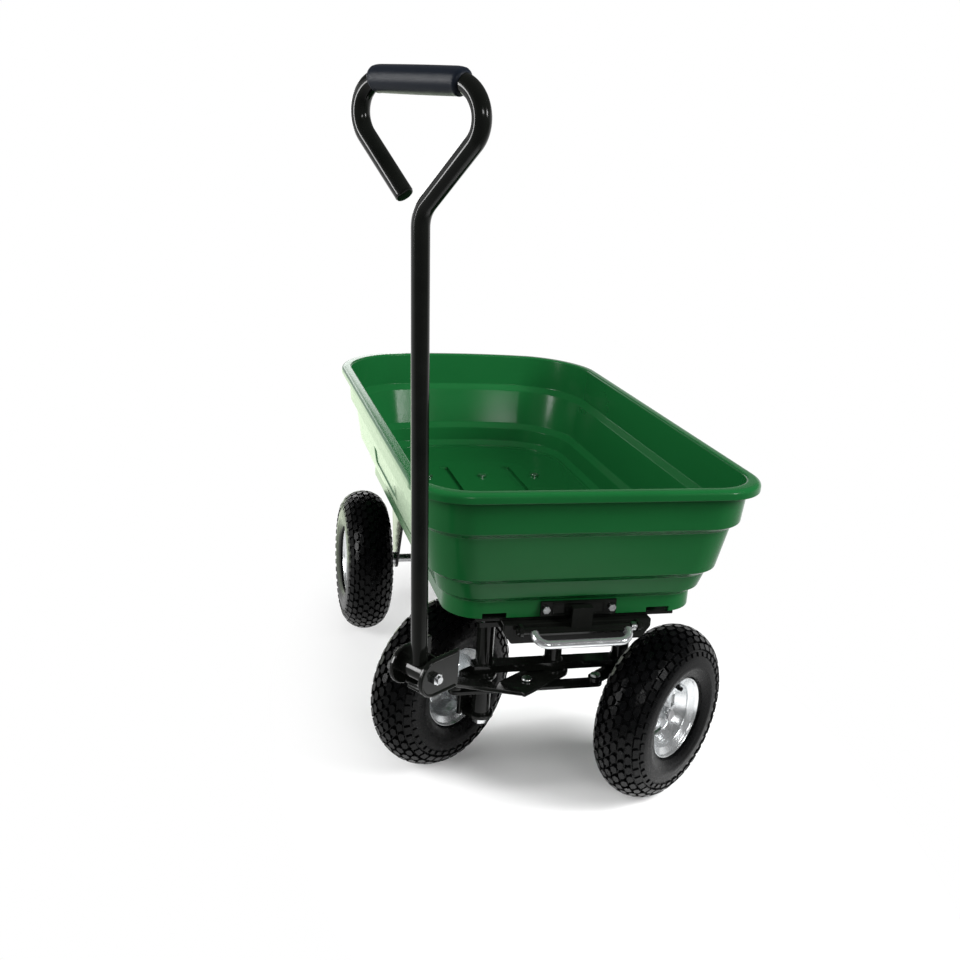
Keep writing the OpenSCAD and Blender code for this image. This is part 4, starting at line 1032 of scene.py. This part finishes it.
def shadow_distance(tree, place):
    """Distance of a place on the floor from the middle of the kept shadow, as a socket."""
    sides = add(tree, "ShaderNodeVectorMath", operation="MULTIPLY_ADD")
    sides.inputs[1].default_value = (SHADOW_SIDES, 1.0, 1.0)
    sides.inputs[2].default_value = (-SHADOW_X * SHADOW_SIDES, -SHADOW_Y, 0.0)
    tree.links.new(place, sides.inputs[0])
    length = add(tree, "ShaderNodeVectorMath", operation="LENGTH")
    tree.links.new(sides.outputs["Vector"], length.inputs[0])
    return length.outputs["Value"]


def floor_material():
    """White that keeps the shadow near the cart and glows away from it, and is mirrored darker in front."""
    mat, tree, shader = node_tree("floor_white")
    shader.inputs["Base Color"].default_value = (FLOOR_COLOUR,) * 3 + (1,)
    shader.inputs["Roughness"].default_value = FLOOR_ROUGH
    glow = add(tree, "ShaderNodeEmission", Color=(*WHITE, 1))
    place = add(tree, "ShaderNodeTexCoord").outputs["Object"]
    seen = add(tree, "ShaderNodeLightPath").outputs["Is Camera Ray"]
    room = map_range(tree, axes_of(tree, place)["Y"], *FLOOR_FADE, FRONT_LEVEL, 1.0)
    tree.links.new(map_range(tree, seen, 0.0, 1.0, room, 1.0), glow.inputs["Strength"])
    far = map_range(tree, shadow_distance(tree, place), SHADOW_FROM, SHADOW_TO, NEAR_GLOW, 1.0)
    mix = add(tree, "ShaderNodeMixShader")
    for source, socket in zip((far, shader.outputs["BSDF"], glow.outputs["Emission"]), mix.inputs):
        tree.links.new(source, socket)
    tree.links.new(mix.outputs["Shader"], tree.nodes["Material Output"].inputs["Surface"])
    return mat


def stage():
    """White floor under the cart."""
    mesh = bpy.data.meshes.new("floor")
    corners = [(x * FLOOR_HALF, y * FLOOR_HALF, 0) for x, y in ((-1, -1), (1, -1), (1, 1), (-1, 1))]
    mesh.from_pydata(corners, [], [(0, 1, 2, 3)])
    floor = bpy.data.objects.new("floor", mesh)
    scene.collection.objects.link(floor)
    mesh.materials.append(floor_material())


def studio():
    """White backdrop for the eye; glossy faces mirror it low behind the cart, and a darker room elsewhere."""
    world = bpy.data.worlds.new("studio")
    scene.world = world
    world.use_nodes = True
    tree = world.node_tree
    back = tree.nodes["Background"]
    back.inputs["Color"].default_value = (*WHITE, 1)
    ray = add(tree, "ShaderNodeLightPath").outputs
    axes = axes_of(tree, add(tree, "ShaderNodeTexCoord").outputs["Generated"])
    room = map_range(tree, axes["Y"], *ROOM_FADE, ROOM_LEVEL, 1.0)
    sky = map_range(tree, axes["Z"], *SKY_FADE, 1.0, TOP_LEVEL)
    mirrored = maths(tree, "MULTIPLY", room, sky)
    lit = map_range(tree, ray["Is Glossy Ray"], 0.0, 1.0, DIFFUSE_LEVEL, mirrored)
    seen = maths(tree, "MAXIMUM", ray["Is Camera Ray"], ray["Is Transmission Ray"])
    tree.links.new(map_range(tree, seen, 0.0, 1.0, lit, 1.0), back.inputs["Strength"])


def area_light(name, at, toward, size, watts, colour=WHITE, mirrored=True):
    """A lamp at a place, aimed at another, that the eye doesn't see and glossy faces may mirror."""
    data = bpy.data.lights.new(name, "AREA")
    data.shape = "RECTANGLE"
    data.size, data.size_y = size
    data.energy = watts
    data.color = colour
    obj = bpy.data.objects.new(name, data)
    scene.collection.objects.link(obj)
    look = (Vector(toward) - Vector(at)).to_track_quat("-Z", "Y")
    obj.matrix_world = Matrix.Translation(Vector(at)) @ look.to_matrix().to_4x4()
    obj.visible_camera = False
    obj.visible_glossy = mirrored


# Lamps as (name, place, aim, size, watts), in metres: soft ones that nothing mirrors, then windows
SOFT_LAMPS = (
    ("left", (-2.3, -1.2, 1.9), (0, 0.1, 0.4), (1.4, 1.2), 35.0),
    ("right", (2.2, -1.4, 2.1), (0, 0.1, 0.4), (1.4, 1.2), 130.0),
    ("top", (0.2, 0.1, 3.0), (0, 0, 0.3), (1.6, 1.2), 30.0),
)
WINDOWS = (
    ("front", (0.0, -2.54, 1.36), (0.12, 0.43, 0.38), (0.42, 0.20), 4.0),
    ("right", (1.70, -1.98, 1.46), (-0.08, 0.43, 0.40), (0.34, 0.36), 9.0),
)
# How far behind its window a wider, dimmer curtain hangs, and how much wider it is
WINDOW_GAP, CURTAIN = 0.02, 1.7
# Cards that are mirrored too, each with its colour: the last lies on the floor behind the cart
CARDS = (
    ("strip", (-2.6, -0.1, 1.3), (-0.3, -0.4, 0.9), (0.4, 1.8), 50.0, WHITE),
    ("back", (-0.3, 3.0, 1.0), (-0.2, 0.1, 0.5), (1.4, 0.5), 7.0, WHITE),
    ("floor_card", (-0.4, 1.7, 0.01), (-0.4, 1.7, 1.0), (1.2, 2.2), 10.0, (0.80, 1.0, 0.60)),
)


def lights():
    """Soft lamps for the shading, and windows and cards that the tray and the tubes mirror."""
    for lamp in SOFT_LAMPS:
        area_light(*lamp, mirrored=False)
    for name, at, toward, size, watts in WINDOWS:
        area_light("window_" + name, at, toward, size, watts)
        behind = [a + (a - b) * WINDOW_GAP for a, b in zip(at, toward)]
        area_light("curtain_" + name, behind, toward, [s * CURTAIN for s in size], watts)
    for card in CARDS:
        area_light(*card)


camera()
make_tray()
make_wheels()
make_handle()
make_steel()
clevis_rims()
latch_rod()
latch_coil()
weld_beads()
catch_frame()
stage()
studio()
lights()

scene.view_settings.view_transform = "Standard"
